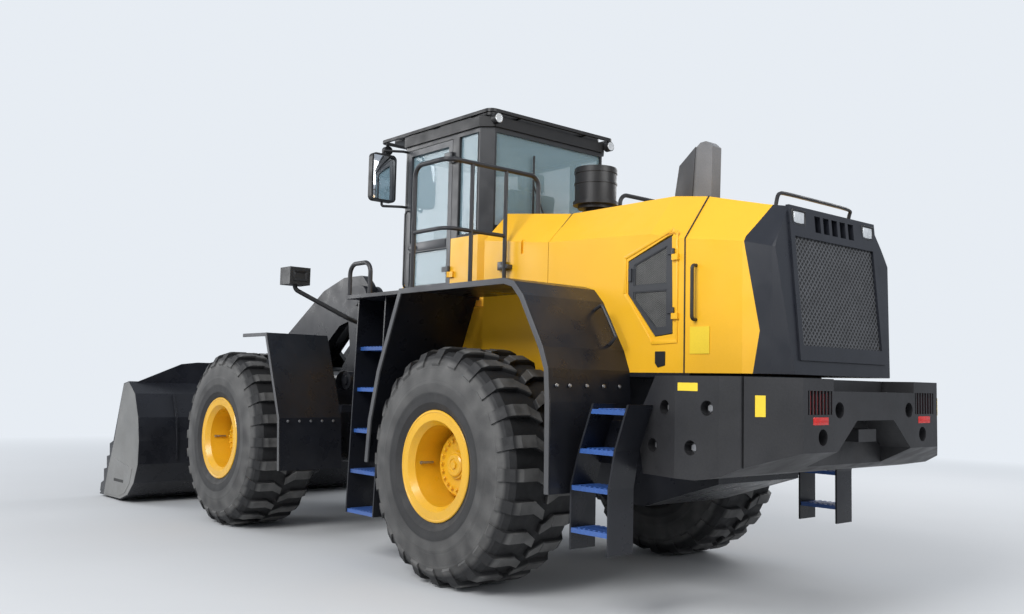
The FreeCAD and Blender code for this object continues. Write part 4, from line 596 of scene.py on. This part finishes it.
class LOADER_OT_finishes(bpy.types.Operator):
    """Makes every finish and gives each CAD node its own"""
    bl_idname = "loader.finishes"
    bl_label = "Finishes"

    def execute(self, context):
        tones = context.scene.loader_finish
        body, rim, dark = tuple(tones.body), tuple(tones.rim), tuple(tones.dark)
        paint("body_paint", body, 0.38, coat=0.18, gloss=0.42, grain=0.05, dust=0.12,
              mottle=0.04, bump=0.05)
        paint("rim_paint", rim, 0.34, coat=0.3, grain=0.15, dust=0.35, dust_top=1.0,
              dust_fade=0.9, dust_colour=(0.45, 0.26, 0.07), mottle=0.10, bump=0.1)
        paint("frame_paint", dark, 0.30, grain=0.2, dust=0.035, mottle=0.25, bump=0.12,
              gloss=0.32)
        paint("bucket_paint", shade(dark, 1.05), 0.28, grain=0.2, dust=0.05, gloss=0.36,
              dust_top=1.0, mottle=0.3, bump=0.2, bump_scale=25.0)
        paint("cylinder_paint", shade(dark, 0.9), 0.30, coat=0.1, grain=0.2, dust=0.06,
              mottle=0.2)
        paint("rail_paint", (0.022, 0.022, 0.025), 0.36, dust=0.04, gloss=0.4, dust_top=3.4,
              dust_fade=3.0, mottle=0.2)
        paint("shroud_paint", (0.017, 0.019, 0.025), 0.34, grain=0.15, dust=0.02, mottle=0.15,
              gloss=0.36, bump=0.08)
        paint("vent_grey", (0.036, 0.038, 0.043), 0.42, coat=0.15, grain=0.2, dust=0.08)
        # a grey well above the frame black; on the fender lips it is a painted highlight along their edges
        paint("grey_and_lip_highlight", (0.050, 0.052, 0.058), 0.45, dust=0.15, dust_top=2.4, dust_fade=1.8,
              mottle=0.15)
        paint("bare_side", (0.20, 0.20, 0.195), 0.42, metallic=0.2, grain=0.3, dust=0.2,
              mottle=0.2, bump=0.2, bump_scale=30.0)
        paint("stack_steel", (0.20, 0.20, 0.205), 0.42, metallic=0.5, grain=0.3, dust=0.05,
              mottle=0.3)
        # black rubber; on the bucket's slot the same black is painted shade
        paint("rubber_and_slot_shade", (0.012, 0.012, 0.013), 0.6, grain=0.2, dust=0.1)
        paint("label_yellow", (0.86, 0.60, 0.03), 0.45, grain=0.1, dust=0.2, mottle=0.05)
        paint("cowl_plastic", (0.013, 0.013, 0.014), 0.42, grain=0.3, dust=0.02, gloss=0.4,
              mottle=0.15, bump=0.3, bump_scale=180.0)
        paint("weight_paint", tuple(tones.weight), 0.44, grain=0.4, dust=0.05, gloss=0.36,
              mottle=0.22, bump=0.6, bump_scale=45.0)
        paint("step_paint", tuple(tones.steps), 0.5, grain=0.5, dust=0.14, mottle=0.25, bump=0.3)
        two_tone("cab_paint", body, (0.022, 0.023, 0.026), belt=2.765,
                 step_x=REAR_AXLE_X + 0.955, low_belt=2.40, roughness=0.34)
        # each mesh's opening colour is painted shade of the space behind it
        wire_mesh("grille_wire", across="X", pitch=0.030, wire=(0.085, 0.088, 0.095),
                  hole_shade=(0.006, 0.006, 0.007))
        wire_mesh("vent_wire", across="Y", pitch=0.010, wire=(0.15, 0.15, 0.145),
                  hole_shade=(0.012, 0.011, 0.010), thin=0.72)
        rubber("tyre_rubber", (0.012, 0.012, 0.013), (0.150, 0.147, 0.142), 0.70)
        tinted_glass("cab_window", (0.30, 0.44, 0.50), alpha=0.42)
        lens("red_lens", (0.55, 0.02, 0.015))
        glow("clear_lens", (0.85, 0.87, 0.88))
        fabric("seat_cloth", (0.035, 0.035, 0.04))
        metal("mirror_silver", (0.80, 0.84, 0.88), 0.06)
        metal("ground_steel", (0.62, 0.62, 0.64), 0.28)
        metal("worn_steel", (0.42, 0.42, 0.43), 0.45)
        for finish, names in FINISH_OF_NODE.items():
            material = bpy.data.materials[finish]
            for name in names:
                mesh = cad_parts[name].data
                mesh.materials.clear()
                mesh.materials.append(material)
        return {"FINISHED"}


WHEELS = (
    # body, axle x, side
    ("wheel_front_left", FRONT_AXLE_X, 1),
    ("wheel_front_right", FRONT_AXLE_X, -1),
    ("wheel_rear_left", REAR_AXLE_X, 1),
    ("wheel_rear_right", REAR_AXLE_X, -1),
)


class LOADER_OT_wheel_trim(bpy.types.Operator):
    """Bolts the hubs on and rings the rims"""
    bl_idname = "loader.wheel_trim"
    bl_label = "Wheel trim"

    def execute(self, context):
        for body, axle_x, side in WHEELS:
            tag = body[6:]
            axis = Vector((0, side, 0))
            middle = Vector((axle_x, 0, AXLE_HEIGHT))
            face = middle + axis * 1.345
            first = hex_bolt(face + Vector((0.185, 0, 0)), axis, 0.014, 0.022)
            turns = [Matrix.Translation(face) @ Matrix.Rotation(math.tau * index / 20, 4, "Y")
                     @ Matrix.Translation(-face) for index in range(1, 20)]
            studs = joined([first] + copies(first, turns))
            finished(studs, "hub_bolts_" + tag, body, "rim_paint")
            cap_face = middle + axis * 1.37
            cap = lathe([(0.0, 0.0), (0.088, 0.0), (0.088, 0.010), (0.078, 0.018), (0.050, 0.018),
                         (0.046, 0.012), (0.030, 0.012), (0.026, 0.024), (0.0, 0.024)],
                        cap_face, axis, 48)
            finished(cap, "hub_cap_" + tag, body, "rim_paint")
            lip = lathe([(0.398, 0.0), (0.410, 0.002), (0.413, 0.009), (0.408, 0.015), (0.396, 0.016),
                         (0.388, 0.010)], middle + axis * 1.557, axis, 96)
            finished(lip, "rim_lip_" + tag, body, "rim_paint")
            inner = lathe([(0.3075, 0.0), (0.3145, 0.0), (0.3145, 0.012), (0.3075, 0.012)],
                          middle + axis * 1.40, axis, 80)
            finished(inner, "lock_ring_" + tag, body, "rim_paint")
            stem = joined([disc(middle + axis * 1.36 + Vector((0.292, 0, 0.0)), axis, 0.009, 0.10,
                                bevel=0.002, sides=12),
                           disc(middle + axis * 1.46 + Vector((0.292, 0, 0.0)), axis, 0.012, 0.022,
                                bevel=0.003, sides=12)])
            finished(stem, "valve_stem_" + tag, body, "worn_steel")
        return {"FINISHED"}


VENT_PANES = (
    # x from the rear axle and z of the two mesh panes in a vent door
    ((-1.250, 2.355), (-1.553, 2.465), (-1.553, 2.205), (-1.250, 2.205)),
    ((-1.250, 2.165), (-1.553, 2.165), (-1.553, 1.905), (-1.462, 1.895), (-1.250, 2.120)),
)


VENT_SURROUND = (
    # x from the rear axle and z of the raised band round a vent
    (-1.158, 2.155), (-1.158, 2.420), (-1.610, 2.585), (-1.650, 2.560), (-1.650, 1.800),
    (-1.425, 1.790),
)
HOOD_SEAMS = (
    # x from the rear axle, width, then (z, y) of the seam's foot, shoulder and top
    (-1.702, -0.010, (1.600, HOOD_SIDE_Y), (2.500, HOOD_SIDE_Y), (2.822, 0.546)),
    (-0.366, -0.009, (1.600, RECESS_Y), (2.598, RECESS_Y), (2.856, 0.548)),
)


class LOADER_OT_hood_trim(bpy.types.Operator):
    """Adds the vents' mesh, frames and surrounds, the seams, flaps and blank labels"""
    bl_idname = "loader.hood_trim"
    bl_label = "Hood trim"

    def execute(self, context):
        for side, word in SIDES:
            door = "vent_door_" + word
            panes = [side_plate(pane, side * 0.7872, side * 0.003, 0) for pane in VENT_PANES]
            finished(joined(panes), "vent_mesh_" + word, door, "vent_wire")
            rims = []
            for pane in VENT_PANES:
                middle = sum((Vector(corner) for corner in pane), Vector((0, 0))) / len(pane)
                rims.append(side_frame(pane, middle, 0.014, side * RECESS_Y, side * 0.006, 0.001))
            finished(joined(rims), "vent_frame_" + word, door, "vent_grey")
            surround = side_frame(VENT_SURROUND, Vector((-1.42, 2.19)), 0.028, side * HOOD_SIDE_Y,
                                  side * 0.007, 0.003, 2)
            finished(surround, "vent_surround_" + word, "rear_body", "body_paint")
            flap = side_plate(((-1.455, 1.745), (-1.545, 1.745), (-1.545, 1.650), (-1.480, 1.635),
                               (-1.455, 1.665)), side * HOOD_SIDE_Y, side * 0.006, 0.002)
            finished(flap, "filler_flap_" + word, "rear_body", "cowl_plastic")
            blank = side_plate(((-1.752, 1.905), (-1.912, 1.905), (-1.912, 1.725),
                                (-1.752, 1.725)), side * 0.7985, side * 0.0035, 0.001)
            finished(blank, "cowl_label_" + word, "rear_body", "label_yellow")
            bracket = slab(spot(0.055, side * 0.795, 2.425), spot(0.150, side * 0.860, 2.460), 0.004)
            hook = slab(spot(0.125, side * 0.800, 2.420), spot(0.205, side * 0.835, 2.490), 0.005)
            finished(joined([bracket, hook]), "rail_bracket_" + word, "rear_body",
                     "vent_grey")
            seams = []
            for x, step, low, high, crown in HOOD_SEAMS:
                for (z0, y0), (z1, y1), push in (
                        (low, high, (0, side * 0.0045, 0)), (high, crown, (0, side * 0.0033, 0.0035))):
                    seams.append(plate([spot(x, side * y0, z0), spot(x + step, side * y0, z0),
                                        spot(x + step, side * y1, z1), spot(x, side * y1, z1)], push, 0))
            finished(joined(seams), "hood_seam_" + word, "rear_body", "rubber_and_slot_shade")
        return {"FINISHED"}


def grille_x(z, depth=0.0):
    """x from the rear axle of the grille's slanted face at one height."""
    return -2.315 - 0.089 * (2.69 - z) + depth


def band(points, width):
    """A strip's outline: points (x, z) and the same points one width inwards."""
    inner = []
    for index, (x, z) in enumerate(points):
        steps = []
        for first in (index - 1, index):
            if 0 <= first < len(points) - 1:
                step = Vector(points[first + 1]) - Vector(points[first])
                steps.append(Vector((step.y, -step.x)).normalized())
        mean = sum(steps, Vector((0, 0))) / len(steps)
        mean /= mean.length_squared
        inner.append((x + mean.x * width, z + mean.y * width))
    return list(points) + inner[::-1]


class LOADER_OT_rear_trim(bpy.types.Operator):
    """Fits the grille's wire, the lamps, the stack's shield and the air cleaner's lid"""
    bl_idname = "loader.rear_trim"
    bl_label = "Rear trim"

    def execute(self, context):
        # a flat panel over the grille opening; the openings in its mesh are painted shade
        wire = plate([spot(grille_x(z, 0.006), y, z) for y, z in (
            (-0.492, 2.492), (0.492, 2.492), (0.492, 1.783), (-0.492, 1.783))], (-0.003, 0, 0), 0)
        finished(wire, "grille_wire_panel", "rear_body", "grille_wire")
        for side, word in SIDES:
            face = grille_x(2.615)
            bezel = slab(spot(face - 0.020, side * 0.43 - 0.078, 2.562),
                         spot(face + 0.02, side * 0.43 + 0.078, 2.668), 0.008, 3)
            inset_towards(bezel, (-1, 0, 0), 0.012, 0.008)
            finished(bezel, "lamp_bezel_" + word, "rear_body", "cowl_plastic")
            pane = slab(spot(face - 0.017, side * 0.43 - 0.060, 2.578),
                        spot(face - 0.004, side * 0.43 + 0.060, 2.652), 0.004, 2)
            finished(pane, "work_lamp_" + word, "rear_body", "clear_lens")
            red = slab(spot(-2.6275, side * 0.649 - 0.084, 1.296),
                       spot(-2.610, side * 0.649 + 0.084, 1.343), 0.003, 2)
            finished(red, "reflector_" + word, "rear_body", "red_lens")
            strip = side_plate(((-2.022, 1.533), (-2.173, 1.533), (-2.173, 1.484),
                                (-2.022, 1.484)), side * 1.2485, side * 0.004, 0.001)
            along = Vector((-0.432, -0.902 * side, 0))
            out = Vector((-0.902, 0.432 * side, 0))
            middle = spot(-2.503, side * 1.094, 1.405) + out * 0.001
            corners = [middle + along * a + Vector((0, 0, b)) for a, b in (
                (-0.034, 0.062), (0.034, 0.062), (0.034, -0.062), (-0.034, -0.062))]
            blank = plate(corners, out * 0.003, 0.0008)
            finished(joined([strip, blank]), "weight_labels_" + word, "rear_body", "label_yellow")
            bolts = [hex_bolt(spot(x, side * y, z), (0, side, 0), 0.026, 0.020) for x, y, z in (
                (-2.240, 1.190, 1.385), (-2.119, 1.190, 1.145), (-1.898, 1.150, 1.380),
                (-1.782, 1.130, 1.141))]
            finished(joined(bolts), "weight_bolts_" + word, "rear_body", "worn_steel")
        rail = pipe([spot(-2.175, 0.45, 2.700), spot(-2.185, 0.45, 2.76), spot(-2.2, 0.45, 2.79),
                     spot(-2.2, 0.40, 2.80), spot(-2.2, 0.0, 2.80), spot(-2.2, -0.40, 2.80),
                     spot(-2.2, -0.45, 2.79), spot(-2.185, -0.45, 2.76), spot(-2.175, -0.45, 2.700)], 0.013)
        finished(rail, "cowl_rail", "rear_body", "rail_paint")
        shield = plate([spot(x, -0.066, z) for x, z in (
            (-1.004, 2.845), (-1.008, 3.000), (-1.047, 3.216), (-1.205, 3.344), (-1.168, 2.850))],
            (0, 0.132, 0), 0.006, 2)
        finished(shield, "stack_shield", "rear_body", "grey_and_lip_highlight")
        stack_seal = plate([spot(x, -0.085, 2.846) for x in (-0.985, -1.385)]
                           + [spot(x, 0.085, 2.846) for x in (-1.385, -0.985)], (0, 0, 0.022), 0.006, 2)
        finished(stack_seal, "stack_seal", "rear_body", "rubber_and_slot_shade")
        hub = spot(-0.087, 0, 0)
        lid = lathe([(0.0, 3.351), (0.150, 3.351), (0.150, 3.342), (0.184, 3.338), (0.184, 3.300),
                     (0.172, 3.296), (0.0, 3.300)], hub, (0, 0, 1), 72)
        belt = lathe([(0.175, 3.205), (0.184, 3.207), (0.184, 3.222), (0.175, 3.224)], hub, (0, 0, 1), 72)
        collar = lathe([(0.085, 2.905), (0.115, 2.905), (0.110, 2.960), (0.098, 2.985), (0.085, 2.985)],
                       hub, (0, 0, 1), 48)
        finished(joined([lid, belt, collar]), "air_cleaner_trim", "rear_body", "cowl_plastic")
        return {"FINISHED"}


class LOADER_OT_cab_trim(bpy.types.Operator):
    """Adds wipers, handles, lamp glasses, mirror glasses and the seat's details"""
    bl_idname = "loader.cab_trim"
    bl_label = "Cab trim"

    def execute(self, context):
        band_plate = slab(spot(1.025, 0.748, 2.700), spot(1.570, 0.7565, 2.772), 0.003, 2)
        grip = slab(spot(1.470, 0.752, 2.716), spot(1.575, 0.774, 2.752), 0.006, 3)
        finished(joined([band_plate, grip]), "door_handle_band", "cab_door", "vent_grey")
        bar = pipe([spot(1.605, 0.752, 2.36), spot(1.607, 0.790, 2.37), spot(1.607, 0.790, 2.46),
                    spot(1.607, 0.790, 3.00), spot(1.607, 0.790, 3.08), spot(1.605, 0.752, 3.09)], 0.009)
        finished(bar, "door_grab_bar", "cab_door", "rail_paint")
        wiper = joined([
            pipe([spot(0.474, 0.02, 2.862), spot(0.462, 0.03, 2.90), spot(0.462, 0.14, 3.10),
                  spot(0.464, 0.22, 3.26)], 0.007),
            slab(spot(0.463, 0.205, 2.98), spot(0.473, 0.225, 3.52), 0.003, 2),
            disc(spot(0.480, 0.02, 2.862), (-1, 0, 0), 0.024, 0.024, 0.004, 20)])
        finished(wiper, "rear_wiper", "rear_body", "rubber_and_slot_shade")
        front_wiper = joined([
            pipe([spot(1.955, -0.05, 2.345), spot(1.968, -0.06, 2.39), spot(1.968, -0.16, 2.70),
                  spot(1.966, -0.22, 2.92)], 0.008),
            slab(spot(1.955, -0.232, 2.48), spot(1.966, -0.210, 3.30), 0.003, 2),
            disc(spot(1.950, -0.05, 2.345), (1, 0, 0), 0.026, 0.022, 0.004, 20)])
        finished(front_wiper, "front_wiper", "rear_body", "rubber_and_slot_shade")
        glasses = []
        for x, way in ((0.396, -1), (2.122, 1)):
            for y in (0.69, -0.69):
                glasses.append(disc(spot(x, y, 3.755), (way, 0, 0), 0.039, 0.0045, 0.0015, 28, (0.010, 0.002)))
        finished(joined(glasses), "roof_lamp_glass", "rear_body", "clear_lens")
        for side, word in SIDES:
            glass = slab(spot(1.7265, side * 0.838, 3.190), spot(1.7315, side * 1.072, 3.600),
                         0.002, 2)
            finished(glass, "mirror_glass_" + word, "rear_body", "mirror_silver")
            low_y, high_y = sorted((side * 0.722, side * 0.752))
            frame_bars = [slab(spot(x, low_y, 2.775), spot(x + 0.016, high_y, 3.655), 0.003, 2)
                          for x in (0.585, 0.850)]
            frame_bars.append(slab(spot(0.585, low_y, 2.770), spot(0.866, high_y, 2.788), 0.003, 2))
            finished(joined(frame_bars), "quarter_seal_" + word, "rear_body", "rubber_and_slot_shade")
        rest = slab(spot(0.690, -0.140, 3.262), spot(0.790, 0.140, 3.440), 0.035, 4)
        arm = slab(spot(0.880, -0.345, 2.700), spot(1.240, -0.272, 2.770), 0.022, 3)
        other_arm = slab(spot(0.880, 0.272, 2.700), spot(1.180, 0.345, 2.760), 0.022, 3)
        finished(joined([rest, arm, other_arm]), "seat_rests", "rear_body", "seat_cloth", 60)
        lever = joined([
            pipe([spot(1.200, -0.310, 2.765), spot(1.205, -0.310, 2.82), spot(1.215, -0.312, 2.87)], 0.010),
            disc(spot(1.215, -0.312, 2.862), (0.1, 0, 1), 0.021, 0.055, 0.012, 20),
            slab(spot(1.640, 0.150, 2.800), spot(1.662, 0.420, 2.985), 0.006, 2)])
        finished(lever, "lever_and_screen", "rear_body", "cowl_plastic")
        column = slab(spot(1.575, 0.265, 2.420), spot(1.605, 0.305, 2.830), 0.006, 2)
        finished(column, "screen_post", "rear_body", "cowl_plastic")
        return {"FINISHED"}


REAR_FENDER_EDGE = (
    # x from the rear axle and z of the rear fender's outside
    (0.925, 0.850), (0.893, 1.187), (0.785, 1.589), (0.508, 2.230), (-0.765, 2.230), (-0.868, 2.201),
    (-0.962, 2.104), (-1.167, 1.753), (-1.223, 1.610), (-1.238, 1.391), (-1.246, 0.800),
)
FRONT_FENDER_EDGE = (
    # x from the front axle and z of the front fender's underside
    (-1.337, 0.657), (-1.300, 1.140), (-0.980, 1.940), (-0.480, 1.940),
)


class LOADER_OT_fender_trim(bpy.types.Operator):
    """Puts lips and bolts on the fenders, cleats on the treads and glasses in the headlamps"""
    bl_idname = "loader.fender_trim"
    bl_label = "Fender and step trim"

    def execute(self, context):
        for side, word in SIDES:
            # the lip's lighter grey is a painted highlight along the fender's edge
            lip = side_plate(band(REAR_FENDER_EDGE, -0.042), side * 1.568, side * 0.016, 0.002)
            finished(lip, "rear_fender_lip_" + word, "rear_body", "grey_and_lip_highlight")
            front_lip = side_plate(band(FRONT_FENDER_EDGE, 0.034), side * 1.568, side * 0.016,
                                   0.002, axle_x=FRONT_AXLE_X)
            finished(front_lip, "front_fender_lip_" + word, "front_body", "grey_and_lip_highlight")
            places = [Vector((FRONT_AXLE_X - 1.318, side * y, 1.110)) for y in (1.02, 1.14, 1.26, 1.38, 1.50)]
            finished(bolt_row(places, (-1, 0, 0.08), 0.010, 0.010), "fender_bolts_" + word,
                     "front_body", "worn_steel")
            places = [spot(-1.240, side * y, 1.500) for y in (0.92, 1.08, 1.24, 1.40, 1.52)]
            finished(bolt_row(places, (-1, 0, 0.05), 0.010, 0.012), "rear_fender_bolts_" + word,
                     "rear_body", "worn_steel")
            bar = pipe([spot(x, side * 0.930, z) for x, z in (
                (-1.000, 2.038), (-1.063, 2.075), (-1.085, 2.060), (-1.205, 1.855), (-1.213, 1.838),
                (-1.150, 1.790))], 0.013, 12)
            finished(bar, "fender_handle_" + word, "rear_body", "rail_paint")
            cleats = []
            for z, out in ((0.420, 1.450), (0.750, 1.430), (1.090, 1.410), (1.440, 1.390), (1.790, 1.370)):
                low_y, high_y = sorted((side * (out - 0.245), side * (out - 0.015)))
                for index in range(8):
                    x = 1.000 + 0.047 * index
                    cleats.append(slab(spot(x, low_y, z - 0.002), spot(x + 0.020, high_y, z + 0.006), 0.002, 1))
            for z, low_x, high_x in ((0.590, -1.620, -1.304), (0.860, -1.620, -1.304),
                                     (1.100, -1.668, -1.379), (1.355, -1.760, -1.477)):
                low_y, high_y = sorted((side * 1.228, side * 1.418))
                for index in range(6):
                    x = low_x + 0.025 + (high_x - low_x - 0.05) * index / 6
                    cleats.append(slab(spot(x, low_y, z - 0.002), spot(x + 0.020, high_y, z + 0.006), 0.002, 1))
            finished(joined(cleats), "tread_cleats_" + word, "rear_body", "step_paint")
            face_x = FRONT_AXLE_X - 0.860
            low_y, high_y = sorted((side * 1.195, side * 1.385))
            glass = slab((face_x - 0.004, low_y, 2.437), (face_x + 0.006, high_y, 2.573), 0.004, 2)
            inset_towards(glass, (1, 0, 0), 0.012, 0.003)
            finished(glass, "headlamp_glass_" + word, "front_body", "clear_lens")
            shell = slab((FRONT_AXLE_X - 1.068, low_y + 0.02, 2.455), (FRONT_AXLE_X - 1.052, high_y - 0.02, 2.555),
                         0.006, 3)
            inset_towards(shell, (-1, 0, 0), 0.016, 0.006)
            finished(shell, "headlamp_back_" + word, "front_body", "cowl_plastic")
        return {"FINISHED"}


BUCKET_SIDE = (
    # x from the front axle and z of the side plate's outline
    (2.940, 0.028), (2.370, 0.034), (2.134, 0.103), (1.956, 0.257), (1.858, 0.476), (1.858, 0.744),
    (1.917, 1.012), (2.054, 1.285), (2.276, 1.424), (2.436, 1.396), (2.660, 0.720), (2.830, 0.350),
)


class LOADER_OT_bucket_trim(bpy.types.Operator):
    """Adds the bucket's side sheets, wear plates, edge bolts and back ribs"""
    bl_idname = "loader.bucket_trim"
    bl_label = "Bucket trim"

    def execute(self, context):
        for side, word in SIDES:
            sheet = side_plate(BUCKET_SIDE, side * 1.6990, side * 0.0022, 0.0006,
                               axle_x=FRONT_AXLE_X)
            finished(sheet, "bucket_side_sheet_" + word, "bucket", "bare_side")
            wear = side_plate(((2.86, 0.045), (2.42, 0.055), (2.22, 0.115), (2.08, 0.24),
                               (2.02, 0.42), (2.66, 0.50), (2.74, 0.44)),
                              side * 1.7005, side * 0.005, 0.002, axle_x=FRONT_AXLE_X)
            finished(wear, "bucket_wear_plate_" + word, "bucket", "bare_side")
            # a black plate where the side's slot is: painted shade for the slot's opening
            slot_shade_plate = slab((FRONT_AXLE_X + 2.28, side * 1.701, 0.225),
                              (FRONT_AXLE_X + 2.60, side * 1.7065, 0.262), 0.002, 1)
            finished(slot_shade_plate, "bucket_slot_shade_" + word, "bucket", "rubber_and_slot_shade")
        places = [Vector((FRONT_AXLE_X + 2.875, -1.50 + 0.235 * index, 0.070)) for index in range(14)
                  if abs((index * 0.235 - 1.50 + 1.645) % 0.470) > 0.12]
        finished(bolt_row(places, (0.3, 0, 1), 0.017, 0.014), "edge_bolts", "bucket", "worn_steel")
        ribs = []
        for y in (-1.25, -0.70, 0.70, 1.25):
            ribs.append(plate([Vector((FRONT_AXLE_X + x, y - 0.012, z)) for x, z in (
                (1.853, 0.52), (1.853, 0.74), (1.912, 1.006), (2.040, 1.272), (2.015, 1.280),
                (1.888, 1.012), (1.829, 0.74), (1.829, 0.52))], (0, 0.024, 0), 0.002))
        finished(joined(ribs), "bucket_back_ribs", "bucket", "bucket_paint")
        return {"FINISHED"}


BACKDROP = (0.80, 0.845, 0.90)
SKY_LIGHT = (0.80, 0.86, 0.95)
# distances at which the floor starts to turn into the backdrop, and at which it has
FADE_START, FADE_END = 6.0, 17.0
LAMPS = (
    # name, place, aim, width, height, share of the key light's power
    ("key", (-5.0, 13.0, 10.5), (-0.5, 0.0, 1.0), 7.0, 7.0, 1.0),
    ("rear_fill", (-14.0, -1.0, 7.0), (-3.0, 0.0, 1.5), 8.0, 6.0, 0.35),
    ("front_fill", (12.0, 8.0, 6.0), (2.0, 0.0, 1.0), 7.0, 6.0, 0.3),
    ("right_fill", (1.0, -12.0, 7.0), (0.0, 0.0, 1.2), 9.0, 6.0, 0.3),
)
# the photograph's camera: its place from the rear axle, and its turns in degrees
CAMERA_PLACE = (-5.815, 5.888, 1.505)
CAMERA_YAW, CAMERA_PITCH, CAMERA_ROLL = -40.9523, 4.5091, 1.2625


def surface(tree, share, first, second, output):
    """Blends two shaders by a share, as what a tree's output shows."""
    both = tree.nodes.new("ShaderNodeMixShader")
    for socket, value in zip(both.inputs, (share, first, second)):
        tree.links.new(value, socket)
    tree.links.new(both.outputs["Shader"], tree.nodes[output].inputs["Surface"])


class LOADER_OT_stage(bpy.types.Operator):
    """Lays the floor and sets the lamps, the world and the camera"""
    bl_idname = "loader.stage"
    bl_label = "Stage"

    def execute(self, context):
        settings = context.scene.loader_stage
        bpy.ops.object.select_all(action="DESELECT")
        bpy.ops.mesh.primitive_plane_add(size=120, location=(0, 0, 0))
        floor = context.object
        floor.name = "floor"
        tree, shader, place = new_material("floor_concrete")
        tone = tuple(settings.floor)
        dress(tree, shader, {
            "Base Color": patchy(tree, place, 0.6, 6.0, shade(tone, 0.97), tone),
            "Roughness": 0.8,
        })
        reach = tree.nodes.new("ShaderNodeMapRange")
        dress(tree, reach, {"Value": length(tree, place), "From Min": FADE_START,
                            "From Max": FADE_END})
        seen = tree.nodes.new("ShaderNodeLightPath").outputs["Is Camera Ray"]
        share = calculate(tree, "MULTIPLY", reach.outputs["Result"], seen)
        sky = tree.nodes.new("ShaderNodeEmission")
        feed(tree, sky.inputs["Color"], BACKDROP)
        surface(tree, share, shader.outputs["BSDF"], sky.outputs["Emission"], "Material Output")
        floor.data.materials.append(bpy.data.materials["floor_concrete"])
        world = context.scene.world or bpy.data.worlds.new("studio")
        context.scene.world = world
        world.use_nodes = True
        tree = world.node_tree
        background = tree.nodes["Background"]
        dress(tree, background, {"Color": SKY_LIGHT, "Strength": 0.55})
        backdrop = tree.nodes.new("ShaderNodeBackground")
        dress(tree, backdrop, {"Color": BACKDROP, "Strength": 1.0})
        seen = tree.nodes.new("ShaderNodeLightPath").outputs["Is Camera Ray"]
        surface(tree, seen, background.outputs["Background"], backdrop.outputs["Background"],
                "World Output")
        for name, place, aim, width, height, power in LAMPS:
            bpy.ops.object.light_add(type="AREA", location=place)
            lamp = context.object
            lamp.name = name
            lamp.data.shape = "RECTANGLE"
            lamp.data.size = width
            lamp.data.size_y = height
            lamp.data.energy = settings.key * power
            lamp.rotation_euler = (Vector(aim) - Vector(place)).to_track_quat("-Z", "Y").to_euler()
        bpy.ops.object.camera_add()
        camera = context.object
        camera.name = "photo_camera"
        yaw, pitch, roll = map(math.radians, (CAMERA_YAW, CAMERA_PITCH, CAMERA_ROLL))
        ahead = Vector((math.cos(pitch) * math.cos(yaw), math.cos(pitch) * math.sin(yaw),
                        math.sin(pitch)))
        right = ahead.cross(Vector((0, 0, 1))).normalized()
        up = right.cross(ahead)
        right, up = (right * math.cos(roll) + up * math.sin(roll),
                     up * math.cos(roll) - right * math.sin(roll))
        turn = Matrix((right, up, -ahead)).transposed().to_4x4()
        camera.matrix_world = Matrix.Translation(spot(*CAMERA_PLACE)) @ turn
        camera.data.sensor_width = 36.0
        camera.data.lens = settings.lens_length
        camera.data.clip_end = 300
        context.scene.camera = camera
        context.scene.view_settings.view_transform = "Standard"
        return {"FINISHED"}


class LOADER_PT_panel(bpy.types.Panel):
    """Shows a button for each of the loader's operators"""
    bl_idname = "LOADER_PT_panel"
    bl_label = "Wheel loader"
    bl_space_type = "VIEW_3D"
    bl_region_type = "UI"
    bl_category = "Loader"

    def draw(self, context):
        for operator in OPERATORS:
            self.layout.operator(operator.bl_idname)


OPERATORS = (LOADER_OT_finishes, LOADER_OT_wheel_trim, LOADER_OT_hood_trim, LOADER_OT_rear_trim,
             LOADER_OT_cab_trim, LOADER_OT_fender_trim, LOADER_OT_bucket_trim, LOADER_OT_stage)
GROUPS = (LoaderFinish, LoaderStage)


def register():
    for item in GROUPS + OPERATORS + (LOADER_PT_panel,):
        bpy.utils.register_class(item)
    bpy.types.Scene.loader_finish = PointerProperty(type=LoaderFinish)
    bpy.types.Scene.loader_stage = PointerProperty(type=LoaderStage)


def unregister():
    del bpy.types.Scene.loader_stage
    del bpy.types.Scene.loader_finish
    for item in reversed(GROUPS + OPERATORS + (LOADER_PT_panel,)):
        bpy.utils.unregister_class(item)


def main():
    register()
    bpy.ops.loader.finishes()
    bpy.ops.loader.wheel_trim()
    bpy.ops.loader.hood_trim()
    bpy.ops.loader.rear_trim()
    bpy.ops.loader.cab_trim()
    bpy.ops.loader.fender_trim()
    bpy.ops.loader.bucket_trim()
    bpy.ops.loader.stage()


if __name__ == "__main__":
    main()
